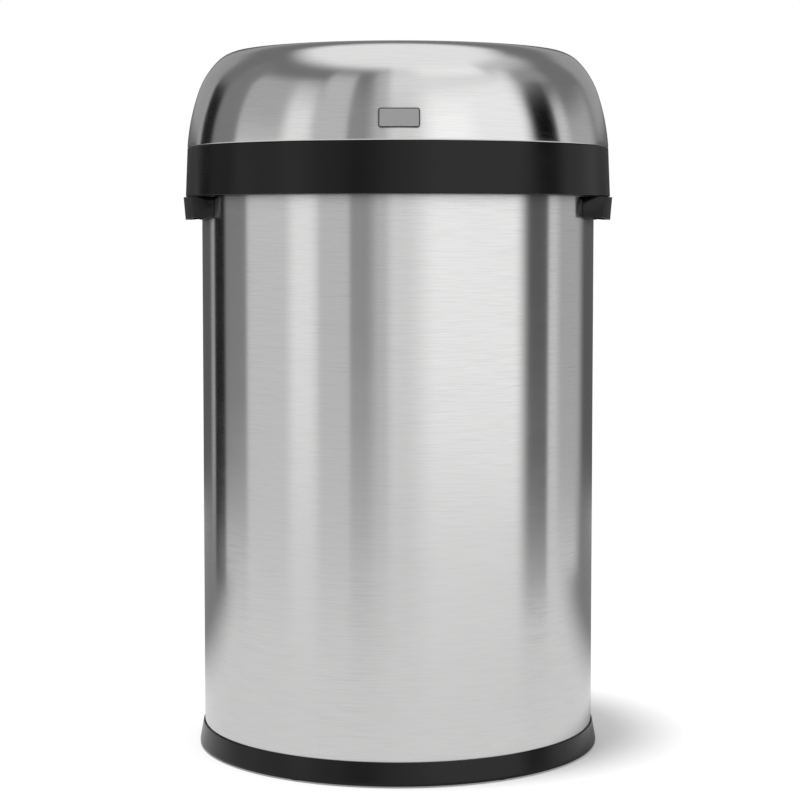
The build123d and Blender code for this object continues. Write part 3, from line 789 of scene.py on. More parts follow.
@dataclass(frozen=True)
class MouldedPlastic(Finish):
    """Injection-moulded plastic with a fine grain."""

    grain: float = 0.03
    fineness: float = 1.0

    def paint(self, effects: SharedEffects, board: NodeBoard, shader: Node) -> None:
        """Adds the grain, handling marks and lighter edges.

        Args:
            effects: The shared groups.
            board: The material's board.
            shader: Its shader.
        """
        shader.inputs["Specular IOR Level"].default_value = 0.31
        grain = place_group(board, effects.grain, Fineness=self.fineness)
        marks = place_group(board, effects.handling, Size=1.3)
        edges = place_group(board, effects.edges, Width=0.0009)
        # The base colour is lighter along the edges and in the grain's patches.
        edge_lightening = board.math("MULTIPLY", edges.outputs["Mask"], 0.55)
        edge_and_patch_tone = board.math("MAXIMUM", edge_lightening, grain.outputs["Patch"])
        self.shades(edge_and_patch_tone, board, shader, 0.85, 1.25)
        rough = board.ramp(grain.outputs["Patch"], 0.3, 0.7, self.rough - 0.03, self.rough + 0.04)
        board.put(shader.inputs["Roughness"], board.math("MULTIPLY_ADD", marks.outputs["Mask"], -0.05, rough))
        self.raise_height(board, shader, grain.outputs["Height"], self.grain, 0.6)


@dataclass(frozen=True)
class Rubber(Finish):
    """Matt rubber."""

    def paint(self, effects: SharedEffects, board: NodeBoard, shader: Node) -> None:
        """Adds the grain and its patches.

        Args:
            effects: The shared groups.
            board: The material's board.
            shader: Its shader.
        """
        shader.inputs["Specular IOR Level"].default_value = 0.3
        grain = place_group(board, effects.grain, Fineness=0.7)
        self.shades(grain.outputs["Patch"], board, shader, 0.8, 1.3)
        self.raise_height(board, shader, grain.outputs["Height"], 0.04, 0.7)


@dataclass(frozen=True)
class PowderCoat(Finish):
    """Powder coat on cast metal, with its fine orange peel."""

    def paint(self, effects: SharedEffects, board: NodeBoard, shader: Node) -> None:
        """Adds the orange peel and lighter edges.

        Args:
            effects: The shared groups.
            board: The material's board.
            shader: Its shader.
        """
        grain = place_group(board, effects.grain, Fineness=0.35)
        edges = place_group(board, effects.edges, Width=0.0006)
        self.shades(edges.outputs["Mask"], board, shader, 1.0, 1.7)
        rough = board.ramp(grain.outputs["Patch"], 0.3, 0.7, self.rough - 0.04, self.rough + 0.05)
        board.put(shader.inputs["Roughness"], rough)
        self.raise_height(board, shader, grain.outputs["Height"], 0.06, 0.55)


@dataclass(frozen=True)
class Galvanised(Finish):
    """Zinc-coated sheet with a faint spangle."""

    def paint(self, effects: SharedEffects, board: NodeBoard, shader: Node) -> None:
        """Adds the spangle and handling marks.

        Args:
            effects: The shared groups.
            board: The material's board.
            shader: Its shader.
        """
        shader.inputs["Metallic"].default_value = 1.0
        where = board.add("ShaderNodeTexCoord").outputs["Object"]
        spangle = board.add("ShaderNodeTexVoronoi")
        board.put(spangle.inputs["Vector"], where)
        spangle.inputs["Scale"].default_value = 85.0
        single = board.add("ShaderNodeSeparateColor")
        board.put(single.inputs[0], spangle.outputs["Color"])
        marks = place_group(board, effects.handling, Size=1.6)
        self.shades(single.outputs[0], board, shader, 0.86, 1.1)
        flake = board.ramp(single.outputs[0], 0.0, 1.0, self.rough - 0.06, self.rough + 0.06)
        board.put(shader.inputs["Roughness"], board.math("MULTIPLY_ADD", marks.outputs["Mask"], 0.08, flake))


@dataclass(frozen=True)
class PlatedSteel(Finish):
    """Plated or plain bright steel of small fittings."""

    def paint(self, effects: SharedEffects, board: NodeBoard, shader: Node) -> None:
        """Adds handling marks and lighter edges.

        Args:
            effects: The shared groups.
            board: The material's board.
            shader: Its shader.
        """
        shader.inputs["Metallic"].default_value = 1.0
        marks = place_group(board, effects.handling, Size=12.0)
        edges = place_group(board, effects.edges, Width=0.0003)
        self.shades(edges.outputs["Mask"], board, shader, 0.92, 1.12)
        rough = board.ramp(marks.outputs["Mask"], 0.0, 1.0, self.rough, self.rough + 0.1)
        board.put(shader.inputs["Roughness"], rough)


@dataclass(frozen=True)
class BadgeMetal(Finish):
    """Satin aluminium of the bare badge plate."""

    def paint(self, effects: SharedEffects, board: NodeBoard, shader: Node) -> None:
        """Adds the satin grain and bright edges.

        Args:
            effects: The shared groups.
            board: The material's board.
            shader: Its shader.
        """
        shader.inputs["Metallic"].default_value = 1.0
        grain = place_group(board, effects.grain, Fineness=1.6)
        edges = place_group(board, effects.edges, Width=0.0004)
        self.shades(edges.outputs["Mask"], board, shader, 1.0, 1.15)
        rough = board.ramp(grain.outputs["Patch"], 0.3, 0.7, self.rough - 0.03, self.rough + 0.03)
        board.put(shader.inputs["Roughness"], rough)
        self.raise_height(board, shader, grain.outputs["Height"], 0.01, 0.3)


@dataclass(frozen=True)
class BadgeFrameFinish(Finish):
    """Semi-gloss black of the badge's surround, whose border also stands in for the shade round the plate."""

    def paint(self, effects: SharedEffects, board: NodeBoard, shader: Node) -> None:
        """Adds handling marks.

        Args:
            effects: The shared groups.
            board: The material's board.
            shader: Its shader.
        """
        marks = place_group(board, effects.handling, Size=8.0)
        rough = board.ramp(marks.outputs["Mask"], 0.0, 1.0, self.rough, self.rough + 0.08)
        board.put(shader.inputs["Roughness"], rough)


class Palette:
    """All materials, by the record's slot."""

    def __init__(self) -> None:
        """Builds each finish once."""
        finishes = {
            Slot.BRUSHED_STEEL: BrushedSteel("brushed_stainless", (0.74, 0.74, 0.737), 0.13),
            Slot.GALVANISED_STEEL: Galvanised("galvanised_sheet", (0.6, 0.62, 0.63), 0.42),
            Slot.BLACK_PLASTIC: MouldedPlastic("black_satin_plastic", (0.0045, 0.0045, 0.0047), 0.25),
            Slot.RING_PLASTIC: MouldedPlastic("bag_ring_plastic", (0.035, 0.035, 0.036), 0.5, 0.05, 0.8),
            Slot.BLACK_RUBBER: Rubber("black_rubber", (0.018, 0.018, 0.018), 0.75),
            Slot.BLACK_METAL: PowderCoat("black_powder_coat", (0.022, 0.022, 0.022), 0.42),
            Slot.BRIGHT_STEEL: PlatedSteel("bright_steel", (0.7, 0.7, 0.7), 0.18),
            Slot.SCREW_ZINC: PlatedSteel("zinc_plated_steel", (0.62, 0.64, 0.67), 0.3),
            Slot.BADGE_METAL: BadgeMetal("badge_satin_metal", (0.42, 0.42, 0.42), 0.34),
            Slot.BADGE_BLACK: BadgeFrameFinish("badge_black", (0.006, 0.006, 0.006), 0.4),
        }
        effects = SharedEffects()
        self.by_slot = {slot: finish.make(effects) for slot, finish in finishes.items()}

    def dress(self, piece: Piece, slot: Slot, body: Body, *nodes: str) -> None:
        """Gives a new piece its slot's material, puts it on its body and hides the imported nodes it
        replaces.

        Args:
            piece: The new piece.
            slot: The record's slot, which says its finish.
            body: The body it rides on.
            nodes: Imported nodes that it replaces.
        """
        piece.data.materials.clear()
        piece.data.materials.append(self.by_slot[slot])
        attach(piece, body.value)
        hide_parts(*nodes)
        LOG.info("%s: %d faces on %s", piece.name, len(piece.data.polygons), body.value)

    def dress_solids(self, slot: Slot, *nodes: str) -> None:
        """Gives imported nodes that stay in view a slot's material.

        Args:
            slot: The slot, which says the finish.
            nodes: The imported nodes.
        """
        for node in nodes:
            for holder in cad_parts[node].material_slots:
                holder.material = self.by_slot[slot]
            LOG.info("%s: kept as packed", node)


# Sub-assemblies


@dataclass
class Drum:
    """The steel drum and the floor pan in it."""

    palette: Palette
    radius: float = 200.0
    sheet: float = 0.8
    bend: float = 1.6
    bottom: float = 11.0
    top: float = 599.0
    flange: float = 20.0
    pan_gap: float = 0.3
    pan_rim: float = 18.2

    def build(self) -> None:
        """Builds and dresses the drum and the floor pan."""
        inner = self.radius - self.sheet
        shell = turned(
            "drum_shell",
            rounded_outline(
                [
                    Corner(self.radius - self.flange, self.bottom),
                    Corner(self.radius, self.bottom, self.bend),
                    Corner(self.radius, self.top),
                    Corner(inner, self.top),
                    Corner(inner, self.bottom + self.sheet, self.bend - self.sheet),
                    Corner(self.radius - self.flange, self.bottom + self.sheet),
                ]
            ),
            steps=256,
        )
        self.palette.dress(shell, Slot.BRUSHED_STEEL, Body.CAN, "body_shell")
        pan_radius = inner - self.pan_gap
        low = self.bottom + self.sheet
        pan = turned(
            "floor_pan_dish",
            rounded_outline(
                [
                    Corner(0.0, low),
                    Corner(pan_radius, low, self.bend),
                    Corner(pan_radius, low + self.pan_rim),
                    Corner(pan_radius - self.sheet, low + self.pan_rim),
                    Corner(pan_radius - self.sheet, low + self.sheet, self.bend - self.sheet),
                    Corner(0.0, low + self.sheet),
                ]
            ),
            steps=192,
            closed=False,
        )
        self.palette.dress(pan, Slot.GALVANISED_STEEL, Body.CAN, "floor_pan")
        self.palette.dress_solids(Slot.SCREW_ZINC, "base_screws")


@dataclass
class Base:
    """The black base ring with its ribs and bosses, and the rubber feet."""

    palette: Palette
    drum_radius: float = 200.0
    foot_radius: float = 205.0
    bottom: float = 1.5
    kick: float = 2.5
    lip: float = 1.4
    wall: float = 3.0
    ledge_under: float = 8.0
    ledge_top: float = 11.0
    top: float = 23.7
    ledge_inner: float = 176.0
    rib_count: int = 24
    rib_thickness: float = 2.0
    rib_recess: float = 1.5
    screw_circle: float = 187.0
    boss_radius: float = 4.55
    foot_circle: float = 190.0
    foot_seat: float = 12.5
    foot_height: float = 1.9
    puck_radius: float = 11.0

    def build(self) -> None:
        """Builds and dresses the base ring and the feet."""
        skirt_inner = self.foot_radius - self.wall
        ring = turned(
            "base_skirt",
            rounded_outline(
                [
                    Corner(self.foot_radius, self.bottom, 0.9),
                    Corner(self.foot_radius, self.bottom + self.kick, 2.5),
                    Corner(self.drum_radius + self.lip, self.top, 0.5),
                    Corner(self.drum_radius + 0.2, self.top, 0.3),
                    Corner(self.drum_radius + 0.2, self.ledge_top),
                    Corner(self.ledge_inner, self.ledge_top, 0.5),
                    Corner(self.ledge_inner, self.bottom + 0.5, 0.5),
                    Corner(self.ledge_inner + self.wall, self.bottom + 0.5, 0.5),
                    Corner(self.ledge_inner + self.wall, self.ledge_under, 0.8),
                    Corner(skirt_inner, self.ledge_under, 0.8),
                    Corner(skirt_inner, self.bottom, 0.5),
                ],
                steps=4,
            ),
            steps=224,
        )
        parts = [ring] + self.ribs(skirt_inner) + self.bosses()
        whole = joined("base_ring_moulding", parts)
        self.palette.dress(whole, Slot.BLACK_PLASTIC, Body.CAN, "base_ring")
        puck = turned(
            "foot_puck",
            rounded_outline(
                [
                    Corner(0.0, 0.0),
                    Corner(self.puck_radius, 0.0, 0.5),
                    Corner(self.puck_radius, self.foot_height, 0.2),
                    Corner(0.0, self.foot_height),
                ],
                steps=4,
            ),
            steps=48,
            closed=False,
        )
        puck.location.x = self.foot_circle * MM
        settle(puck)
        feet = joined("rubber_foot_pucks", copies_round(puck, [60.0 * i for i in range(6)]))
        self.palette.dress(feet, Slot.BLACK_RUBBER, Body.CAN, "rubber_feet")

    def ribs(self, skirt_inner: float) -> list[Piece]:
        """Makes the ribs that join the skirt to the ledge.

        Args:
            skirt_inner: The skirt's inner radius in millimetres.

        Returns:
            The ribs.
        """
        inner, outer = self.ledge_inner + self.wall / 2, skirt_inner + self.wall / 2
        low, high = self.bottom + self.rib_recess, self.ledge_under + 0.5
        rib = block((inner, outer), self.rib_thickness, (low, high))
        rounded(rib, 0.4, segments=2)
        return copies_round(rib, [360.0 / self.rib_count * i for i in range(self.rib_count)])

    def bosses(self) -> list[Piece]:
        """Makes the screw bosses and the foot seats under the ledge.

        Returns:
            The bosses and seats.
        """
        made = []
        kinds = (
            (self.boss_radius, self.screw_circle, self.bottom + 0.5, [45.0 * (i + 0.5) for i in range(8)]),
            (self.foot_seat, self.foot_circle, self.foot_height, [60.0 * i for i in range(6)]),
        )
        for radius, circle, low, angles in kinds:
            high = self.ledge_under + 0.5
            deselect_all()
            bpy.ops.mesh.primitive_cylinder_add(
                vertices=40,
                radius=radius * MM,
                depth=(high - low) * MM,
                location=(circle * MM, 0, (low + high) / 2 * MM),
            )
            boss = bpy.context.object
            settle(boss)
            rounded(boss, 0.35, segments=2)
            made += copies_round(boss, angles)
        return made


@dataclass
class Collar:
    """The collar that caps the drum's top edge."""

    palette: Palette
    inner: float = 195.9
    wall: float = 3.0
    slot_inner: float = 198.9
    slot_outer: float = 200.3
    outer: float = 203.3
    lip: float = 3.1
    lip_thickness: float = 3.0
    bottom: float = 566.0
    drum_top: float = 599.0
    top: float = 603.0
    boss_radius: float = 5.0
    boss_end: float = 206.9
    screw_level: float = 585.0

    def build(self) -> None:
        """Builds and dresses the collar."""
        ring = turned(
            "collar_channel",
            rounded_outline(
                [
                    Corner(self.inner, self.bottom, 0.6),
                    Corner(self.slot_inner, self.bottom, 0.3),
                    Corner(self.slot_inner, self.drum_top),
                    Corner(self.slot_outer, self.drum_top),
                    Corner(self.slot_outer, self.bottom, 0.3),
                    Corner(self.outer, self.bottom, 0.6),
                    Corner(self.outer, self.top - self.lip_thickness, 0.5),
                    Corner(self.outer + self.lip, self.top - self.lip_thickness, 0.5),
                    Corner(self.outer + self.lip, self.top, 0.8),
                    Corner(self.inner, self.top, 0.8),
                ],
                steps=4,
            ),
            steps=224,
        )
        parts = [ring] + self.bosses()
        whole = joined("collar_moulding", parts)
        self.palette.dress(whole, Slot.BLACK_PLASTIC, Body.CAN, "collar")
        self.palette.dress_solids(Slot.SCREW_ZINC, "collar_screws")

    def bosses(self) -> list[Piece]:
        """Makes the screw bosses on the outer leg.

        Returns:
            The bosses.
        """
        start = self.outer - self.wall / 2
        deselect_all()
        bpy.ops.mesh.primitive_cylinder_add(
            vertices=40,
            radius=self.boss_radius * MM,
            depth=(self.boss_end - start) * MM,
            location=((start + self.boss_end) / 2 * MM, 0, self.screw_level * MM),
            rotation=(0, math.pi / 2, 0),
        )
        boss = bpy.context.object
        settle(boss)
        rounded(boss, 0.4, segments=2)
        return copies_round(boss, [45.0 * (i + 0.5) for i in range(8)])


@dataclass
class BagRing:
    """The lift-out ring that holds the bag, with its two tabs."""

    palette: Palette
    inner: float = 188.5
    outer: float = 191.0
    flange: float = 198.5
    bottom: float = 575.2
    flange_bottom: float = 603.2
    top: float = 605.2
    tab_width: float = 44.0
    tab_reach: float = 12.0
    tab_round: float = 6.0

    def build(self) -> None:
        """Builds and dresses the bag ring."""
        ring = turned(
            "bag_ring_sleeve",
            rounded_outline(
                [
                    Corner(self.inner, self.bottom, 0.8),
                    Corner(self.outer, self.bottom, 0.8),
                    Corner(self.outer, self.flange_bottom, 0.6),
                    Corner(self.flange, self.flange_bottom, 0.6),
                    Corner(self.flange, self.top, 0.8),
                    Corner(self.inner, self.top, 0.9),
                ],
                steps=4,
            ),
            steps=224,
        )
        tabs = [self.tab(side) for side in Side]
        whole = joined("bag_ring", [ring] + tabs)
        self.palette.dress(whole, Slot.RING_PLASTIC, Body.BAG_RING, "liner_ring")

    def tab(self, side: Side) -> Piece:
        """Makes one lifting tab.

        Args:
            side: The side that it is on.

        Returns:
            The tab.
        """
        tip, root = self.inner - self.tab_reach, self.inner + 1.2
        tab = block((tip, root), self.tab_width, (self.flange_bottom, self.top))
        tab.name = f"bag_ring_tab_{side.name.lower()}"
        for end in (-1, 1):
            beyond = self.tab_width / 4 * MM
            pick_vertices(tab, lambda place: place.x < (tip + 1) * MM and place.y * end > beyond)
            bpy.ops.mesh.bevel(offset=self.tab_round * MM, segments=8, affect="EDGES")
        close_edit()
        rounded(tab, 0.6, limit=50.0)
        if side is Side.LEFT:
            tab.rotation_euler.z = math.pi
            settle(tab)
        return tab


@dataclass
class LidBand:
    """The black band of the lid, with its shelf, gussets and pads."""

    palette: Palette
    bottom_radius: float = 216.45
    top_radius: float = 214.4
    bottom: float = 561.75
    top: float = 610.7
    wall: float = 2.5
    shelf: float = 2.5
    shelf_inner: float = 199.9
    edge_round: float = 0.7
    gusset_count: int = 24
    gusset_thickness: float = 2.0
    gusset_height: float = 18.0
    gusset_reach: float = 4.5

    def radius_at(self, level: float) -> float:
        """The band's outer radius at a level."""
        share = (level - self.bottom) / (self.top - self.bottom)
        return self.bottom_radius - (self.bottom_radius - self.top_radius) * share

    def build(self) -> None:
        """Builds and dresses the band, its pads and the dome's screws."""
        shelf_under = self.top - self.shelf
        ring = turned(
            "lid_band_skirt",
            rounded_outline(
                [
                    Corner(self.bottom_radius, self.bottom, self.edge_round),
                    Corner(self.top_radius, self.top, self.edge_round),
                    Corner(self.shelf_inner, self.top, 0.4),
                    Corner(self.shelf_inner, shelf_under, 0.4),
                    Corner(self.radius_at(shelf_under) - self.wall, shelf_under, 0.5),
                    Corner(self.bottom_radius - self.wall, self.bottom, self.edge_round),
                ],
                steps=5,
            ),
            steps=256,
        )
        gussets = self.gussets(shelf_under)
        whole = joined("lid_band_moulding", [ring] + gussets)
        self.palette.dress(whole, Slot.BLACK_PLASTIC, Body.LID, "lid_band")
        self.palette.dress_solids(Slot.BLACK_RUBBER, "lid_pads")
        self.palette.dress_solids(Slot.SCREW_ZINC, "lid_dome_screws")

    def gussets(self, shelf_under: float) -> list[Piece]:
        """Makes the gussets between the band's wall and its shelf.

        Args:
            shelf_under: Level of the shelf's underside.

        Returns:
            The gussets.
        """
        foot = shelf_under - self.gusset_height
        wall_top = self.radius_at(shelf_under) - self.wall
        tip = wall_top - self.gusset_reach
        gusset = block((tip, wall_top + 1.0), self.gusset_thickness, (foot, shelf_under + 1.0))
        middle = (foot + shelf_under) / 2
        pick_vertices(gusset, lambda place: place.z < middle * MM and place.x < (tip + 1.0) * MM)
        slide = (self.radius_at(foot) - self.wall - tip) * MM
        bpy.ops.transform.translate(value=(slide, 0, 0))
        close_edit()
        rounded(gusset, 0.35, segments=2)
        return copies_round(gusset, [360.0 / self.gusset_count * i for i in range(self.gusset_count)])


@dataclass
class Dome:
    """The spun steel dome with its curled mouth."""

    palette: Palette
    foot_radius: float = 214.4
    foot_level: float = 610.7
    sheet: float = 0.8
    bend: float = 1.6
    flange: float = 14.4
    leans: tuple[float, ...] = (4.3, 19.0, 44.3, 74.5)
    radii: tuple[float, ...] = (214.8, 82.4, 35.0)
    curl: float = 3.0
    curl_end: float = 300.0

    def arcs(self) -> list[Arc]:
        """Works out the outer meridian, whose arcs run smoothly into each other.

        Returns:
            The arcs, from the foot to the curl's end.
        """
        start = math.radians(self.leans[0])
        centre = Vector((self.foot_radius - self.bend * math.cos(start), self.foot_level + self.bend))
        arcs = [Arc(tuple(centre), self.bend, -90.0, self.leans[0])]
        sizes = list(zip(self.radii, self.leans[:-1], self.leans[1:]))
        sizes.append((self.curl, self.leans[-1], self.curl_end))
        radius = self.bend
        for next_radius, lean, end in sizes:
            way = Vector((math.cos(math.radians(lean)), math.sin(math.radians(lean))))
            centre = centre + way * (radius - next_radius)
            arcs.append(Arc(tuple(centre), next_radius, lean, end))
            radius = next_radius
        return arcs

    def meridian(self, depth: float) -> list[Point]:
        """Points of the meridian at this depth under its outer face.

        Args:
            depth: Depth in millimetres.

        Returns:
            Points from the foot to the curl's end.
        """
        spacings = (15.0, 1.0, 1.5, 2.0, 10.0)
        points: list[Point] = []
        for arc, spacing in zip(self.arcs(), spacings):
            run = arc.points(depth, spacing)
            points += run[1:] if points else run
        return points

    def build(self) -> None:
        """Builds and dresses the dome."""
        outer, inner = self.meridian(0.0), self.meridian(self.sheet)
        flange_end = self.foot_radius - self.flange
        outline = outer + list(reversed(inner))
        outline += [(flange_end, self.foot_level + self.sheet), (flange_end, self.foot_level)]
        shell = turned("dome_shell", outline, steps=256)
        self.palette.dress(shell, Slot.BRUSHED_STEEL, Body.LID, "lid_dome")


@dataclass
class Badge:
    """The bare badge: a bevelled plate in a black surround, whose thin dark border also stands in for the
    shade in the gap round the plate.
    """

    palette: Palette

    def build(self) -> None:
        """Builds and dresses the badge's pieces."""
        plate = from_solid("badge_plate_face", "badge_plate")
        rounded(plate, 0.12, limit=25.0, segments=2)
        self.palette.dress(plate, Slot.BADGE_METAL, Body.LID, "badge_plate")
        # Painted shade: the black surround is the badge's black backing, and its border round the plate also
        # stands in for the shade in the gap there.
        surround = from_solid("badge_surround_shade_border", "badge_frame")
        smooth(surround, 30.0)
        self.palette.dress(surround, Slot.BADGE_BLACK, Body.LID, "badge_frame")
        self.palette.dress_solids(Slot.BRIGHT_STEEL, "badge_push_nuts")


@dataclass
class SideGrip:
    """One finger grip with its stiffening plate and screws."""

    palette: Palette
    side: Side
    edge_round: float = 0.9

    def build(self) -> None:
        """Builds and dresses the grip's pieces."""
        name = self.side.name.lower()
        grip = from_solid(f"finger_grip_{name}", f"handle_{name}")
        rounded(grip, self.edge_round, limit=50.0)
        self.palette.dress(grip, Slot.BLACK_PLASTIC, Body.CAN, f"handle_{name}")
        self.palette.dress_solids(Slot.GALVANISED_STEEL, f"handle_plate_{name}")
        self.palette.dress_solids(Slot.SCREW_ZINC, f"handle_screws_{name}")


@dataclass
class RearHinge:
    """The lid's hinge: bracket, arm, pin, clips, plate and screws."""

    palette: Palette

    def build(self) -> None:
        """Builds and dresses the hinge's pieces."""
        bracket = from_solid("hinge_bracket_casting", "hinge_bracket")
        rounded(bracket, 0.6, limit=45.0, segments=2)
        self.palette.dress(bracket, Slot.BLACK_METAL, Body.CAN, "hinge_bracket")
        arm = from_solid("hinge_arm_casting", "hinge_arm")
        rounded(arm, 0.5, limit=45.0, segments=2)
        self.palette.dress(arm, Slot.BLACK_METAL, Body.LID, "hinge_arm")
        self.palette.dress_solids(Slot.BRIGHT_STEEL, "hinge_pin", "hinge_pin_clips")
        self.palette.dress_solids(Slot.GALVANISED_STEEL, "hinge_plate")
        self.palette.dress_solids(Slot.SCREW_ZINC, "hinge_bracket_screws", "hinge_arm_screws")


# Studio: floor, light and camera


@dataclass(frozen=True)
class StudioCard:
    """A soft light, a black flag or a stretch of backdrop round the can, seen only in reflections.

    It reaches from one azimuth to another, where 0 is towards the camera and 90 to the right, and
    each of its edges fades over its own width. All sizes are in degrees.
    """

    name: str
    start: float
    end: float
    brightness: float
    start_fade: float = 4.0
    end_fade: float = 4.0
    low: float = -7.5
    high: float = 90.0
    low_fade: float = 2.5
    high_fade: float = 14.0


@dataclass
class Studio:
    """Pale floor, soft light, reflected cards and the camera."""

    floor_radius: float = 1.25
    floor_tone: float = 0.8
    floor_lift: float = 0.27
    # Painted shade on the floor behind the can, seen only in reflections: where it starts and ends, and its
    # tone.
    dim_start: float = 0.12
    dim_end: float = 0.6
    dim_tone: float = 0.3
    room: float = 0.2
    beyond: float = 0.76
    soft: float = 0.36
    key_strength: float = 1.95
    key_spread: float = 9.0
    key_from: tuple[float, float, float] = (-0.09, -0.07, 1.0)
    camera_lens: float = 95.7
    camera_shift: tuple[float, float] = (0.0026, -0.0331)
    camera_orbit: float = -0.3
    camera_distance: float = 2.18821
    camera_height: float = 0.53024
    camera_tilt: float = 3.9233
    cards: list[StudioCard] = field(
        default_factory=lambda: [
            StudioCard("low_room", 132, 228, 0.11, 10, 10, high=4, high_fade=6),
            StudioCard("haze_behind", 138, 222, 0.36, 10, 10, low=6, low_fade=4, high=34, high_fade=12),
            StudioCard("gap_behind", 169, 191, 0.07, 8, 8, high=22, high_fade=6),
            StudioCard("right_wing", 96, 134, 0.46, 4, 14, high=16, high_fade=12),
            StudioCard("right_wing_edge", 97, 106, 0.68, 4, 8, high=21, high_fade=12),
            StudioCard("left_strip", -141, -134, 0.4, 6, 3, high=20, high_fade=8),
            StudioCard("floor_behind", 130, 230, 0.24, 16, 16, low=-90, high=-7.5, high_fade=2.5),
            StudioCard("left_flag", -135, -120.5, 0.015, 3, 5, low=-9.3, high=21, high_fade=10),
            StudioCard("left_wing", -119, -97.5, 0.24, 5, 5, high=44),
            StudioCard("left_softbox", -98, -44, 0.67, 5, 5, high=34, high_fade=18),
            StudioCard("left_softbox_top", -98, -44, 0.48, 5, 5, low=12, low_fade=20, high=36, high_fade=16),
            StudioCard("left_softbox_core", -65, -48, 0.95, 10, 10, high=31, high_fade=24),
            StudioCard("left_fill", -46, -27, 0.6, 4, 4, high=48, high_fade=16),
            StudioCard("grey_gap", -27, -16, 0.31, 4, 10, high=36, high_fade=24),
            StudioCard("front_fill", -15, -3, 0.56, 10, 5, high=54),
            StudioCard("front_softbox", -5.5, 76.5, 0.81, 6, 13),
            StudioCard("front_softbox_core", 13, 82, 1.08, 20, 12),
            StudioCard("front_softbox_heart", 17, 41, 1.2, 14, 16, low=4, low_fade=8, high=27, high_fade=14),
            StudioCard("front_softbox_top", -4, 70, 0.88, 6, 10, low=36, low_fade=6, high=47, high_fade=8),
            StudioCard("right_veil", 76, 108, 0.34, 22, 12, low=30, low_fade=8, high=43, high_fade=10),
            StudioCard("right_glow", 66, 118, 0.62, 10, 22, low=45, low_fade=14),
            StudioCard("right_flag", 76.5, 96, 0.11, 13, 4, low=-9.3, high=31, high_fade=10),
            StudioCard("right_flag_middle", 79, 94.5, 0.0, 8, 4, low=4, low_fade=5, high=25, high_fade=10),
            StudioCard("overhead", -180, 180, 1.0, 0, 0, low=58, low_fade=13),
        ]
    )

    def build(self) -> None:
        """Builds the world, the floor, the key light and the camera."""
        self.world()
        self.floor()
        self.key_light()
        self.camera()

    def world(self) -> None:
        """Builds the world: white to the camera, cards in reflections, plain soft light for the rest."""
        world = bpy.data.worlds.new("studio")
        bpy.context.scene.world = world
        world.use_nodes = True
        world.cycles.sampling_method = "NONE"
        world.node_tree.nodes.clear()
        board = NodeBoard(world.node_tree)
        way = board.add("ShaderNodeTexCoord").outputs["Generated"]
        split = board.add("ShaderNodeSeparateXYZ")
        board.put(split.inputs[0], way)
        x, y, z = split.outputs
        round_angle = board.math("ARCTAN2", x, board.math("MULTIPLY", y, -1.0))
        azimuth = board.math("DEGREES", round_angle)
        elevation = board.math("DEGREES", board.math("ARCSINE", z))
        light = board.ramp(elevation, -8.7, -6.3, self.beyond, self.room)
        for card in self.cards:
            light = board.blend(self.card_mask(board, card, azimuth, elevation), light, card.brightness)
        path = board.add("ShaderNodeLightPath")
        light = board.blend(path.outputs["Is Glossy Ray"], self.soft, light)
        seen = board.math("MAXIMUM", path.outputs["Is Camera Ray"], path.outputs["Is Transmission Ray"])
        light = board.blend(seen, light, 1.0)
        background = board.add("ShaderNodeBackground")
        board.put(background.inputs["Strength"], light)
        background.inputs["Color"].default_value = (1.0, 1.0, 1.0, 1.0)
        output = board.add("ShaderNodeOutputWorld")
        board.put(output.inputs[0], background.outputs[0])

    def card_mask(self, board: NodeBoard, card: StudioCard, azimuth: Socket, elevation: Socket) -> Socket:
        """Masks one card in the world.

        Args:
            board: The world's board.
            card: The card.
            azimuth: Output with the direction's azimuth.
            elevation: Output with its elevation.

        Returns:
            A socket that is 1 on the card and 0 off it.
        """
        mask = board.ramp(elevation, card.low - card.low_fade / 2, card.low + card.low_fade / 2, 0.0, 1.0)
        if card.high < 90.0:
            top = (card.high - card.high_fade / 2, card.high + card.high_fade / 2)
            mask = board.math("MULTIPLY", mask, board.ramp(elevation, *top, 1.0, 0.0))
        half = (card.end - card.start) / 2
        if half < 180.0:
            middle = (card.start + card.end) / 2
            away = board.math("WRAP", board.math("SUBTRACT", azimuth, middle), 180.0, -180.0)
            left = (-half - card.start_fade / 2, -half + card.start_fade / 2)
            right = (half - card.end_fade / 2, half + card.end_fade / 2)
            mask = board.math("MULTIPLY", mask, board.ramp(away, *left, 0.0, 1.0))
            mask = board.math("MULTIPLY", mask, board.ramp(away, *right, 1.0, 0.0))
        return mask

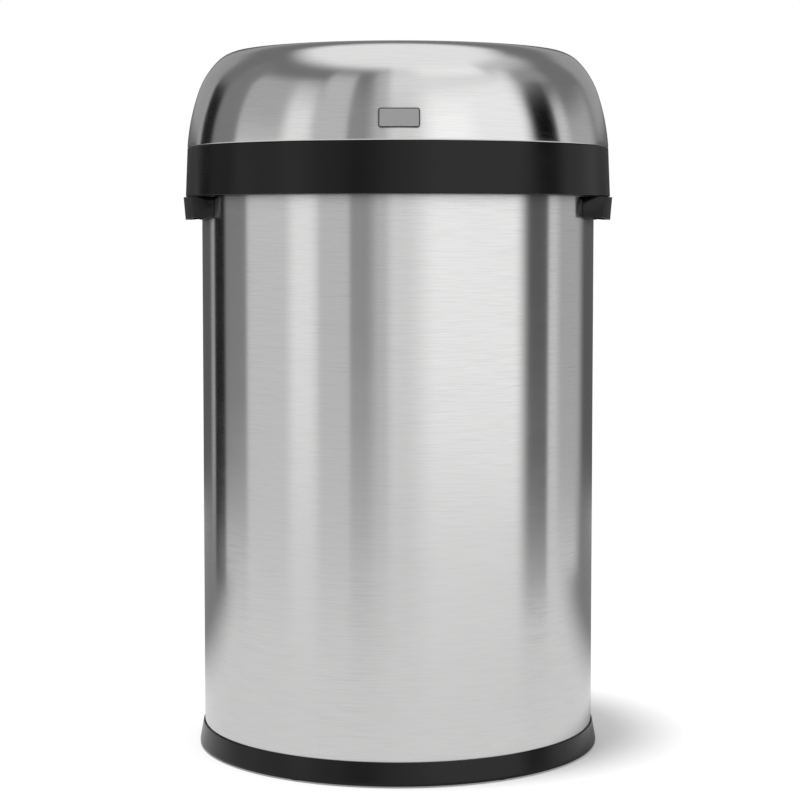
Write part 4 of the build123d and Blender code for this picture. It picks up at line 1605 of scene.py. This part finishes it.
    def floor(self) -> None:
        """Builds the pale floor, which is white to the camera, keeps the can's shadow and has a painted shade
        towards the back in reflections.
        """
        deselect_all()
        bpy.ops.mesh.primitive_circle_add(vertices=96, radius=self.floor_radius, fill_type="NGON")
        ground = bpy.context.object
        ground.name = "studio_floor"
        material = bpy.data.materials.new("pale_floor")
        material.use_nodes = True
        material.node_tree.nodes.clear()
        board = NodeBoard(material.node_tree)
        matt = board.add("ShaderNodeBsdfDiffuse")
        path = board.add("ShaderNodeLightPath")
        where = board.add("ShaderNodeSeparateXYZ")
        board.put(where.inputs[0], board.add("ShaderNodeTexCoord").outputs["Object"])
        # Painted shade: seen in reflections, the floor's colour darkens behind the can, from dim_start to
        # dim_end.
        painted_shade_behind = board.ramp(where.outputs[1], self.dim_start, self.dim_end, 1.0, self.dim_tone)
        dimmed = board.blend(path.outputs["Is Glossy Ray"], 1.0, painted_shade_behind)
        board.put(matt.inputs["Color"], board.math("MULTIPLY", dimmed, self.floor_tone))
        glow = board.add("ShaderNodeEmission")
        lift = board.math("MULTIPLY", path.outputs["Is Camera Ray"], self.floor_lift)
        board.put(glow.inputs["Strength"], lift)
        lit = board.add("ShaderNodeAddShader")
        board.put(lit.inputs[0], matt.outputs[0])
        board.put(lit.inputs[1], glow.outputs[0])
        under = board.add("ShaderNodeNewGeometry").outputs["Backfacing"]
        clear = board.add("ShaderNodeBsdfTransparent")
        mixed = board.add("ShaderNodeMixShader")
        board.put(mixed.inputs[0], board.math("MULTIPLY", under, path.outputs["Is Camera Ray"]))
        board.put(mixed.inputs[1], lit.outputs[0])
        board.put(mixed.inputs[2], clear.outputs[0])
        output = board.add("ShaderNodeOutputMaterial")
        board.put(output.inputs["Surface"], mixed.outputs[0])
        ground.data.materials.append(material)

    def key_light(self) -> None:
        """Adds the soft key from the upper left, which shapes the shadow and isn't reflected."""
        lamp = bpy.data.lights.new("key_softbox", "SUN")
        lamp.energy = self.key_strength
        lamp.angle = math.radians(self.key_spread)
        holder = bpy.data.objects.new("key_softbox", lamp)
        bpy.context.scene.collection.objects.link(holder)
        holder.location = self.key_from
        holder.rotation_euler = Vector(self.key_from).to_track_quat("Z", "Y").to_euler()
        holder.visible_camera = False
        holder.visible_glossy = False

    def camera(self) -> None:
        """Adds the camera at the photograph's viewing angle."""
        lens = bpy.data.cameras.new("camera")
        lens.sensor_width = 36.0
        lens.lens = self.camera_lens
        lens.shift_x, lens.shift_y = self.camera_shift
        lens.clip_start, lens.clip_end = 0.05, 50.0
        camera = bpy.data.objects.new("camera", lens)
        bpy.context.scene.collection.objects.link(camera)
        orbit = math.radians(self.camera_orbit)
        distance = self.camera_distance
        camera.location = (distance * math.sin(orbit), -distance * math.cos(orbit), self.camera_height)
        camera.rotation_euler = (math.radians(90.0 - self.camera_tilt), 0.0, orbit)
        bpy.context.scene.camera = camera


def main() -> None:
    """Builds the can's looks and the studio, and reports each piece."""
    logging.basicConfig(level=logging.INFO, format="%(name)s %(message)s")
    bpy.context.scene.view_settings.view_transform = "Standard"
    palette = Palette()
    assemblies = [
        Drum(palette),
        Base(palette),
        Collar(palette),
        BagRing(palette),
        LidBand(palette),
        Dome(palette),
        Badge(palette),
        SideGrip(palette, Side.RIGHT),
        SideGrip(palette, Side.LEFT),
        RearHinge(palette),
        Studio(),
    ]
    for assembly in assemblies:
        assembly.build()
        LOG.info("%s built", type(assembly).__name__)
    deselect_all()


if __name__ == "__main__":
    main()
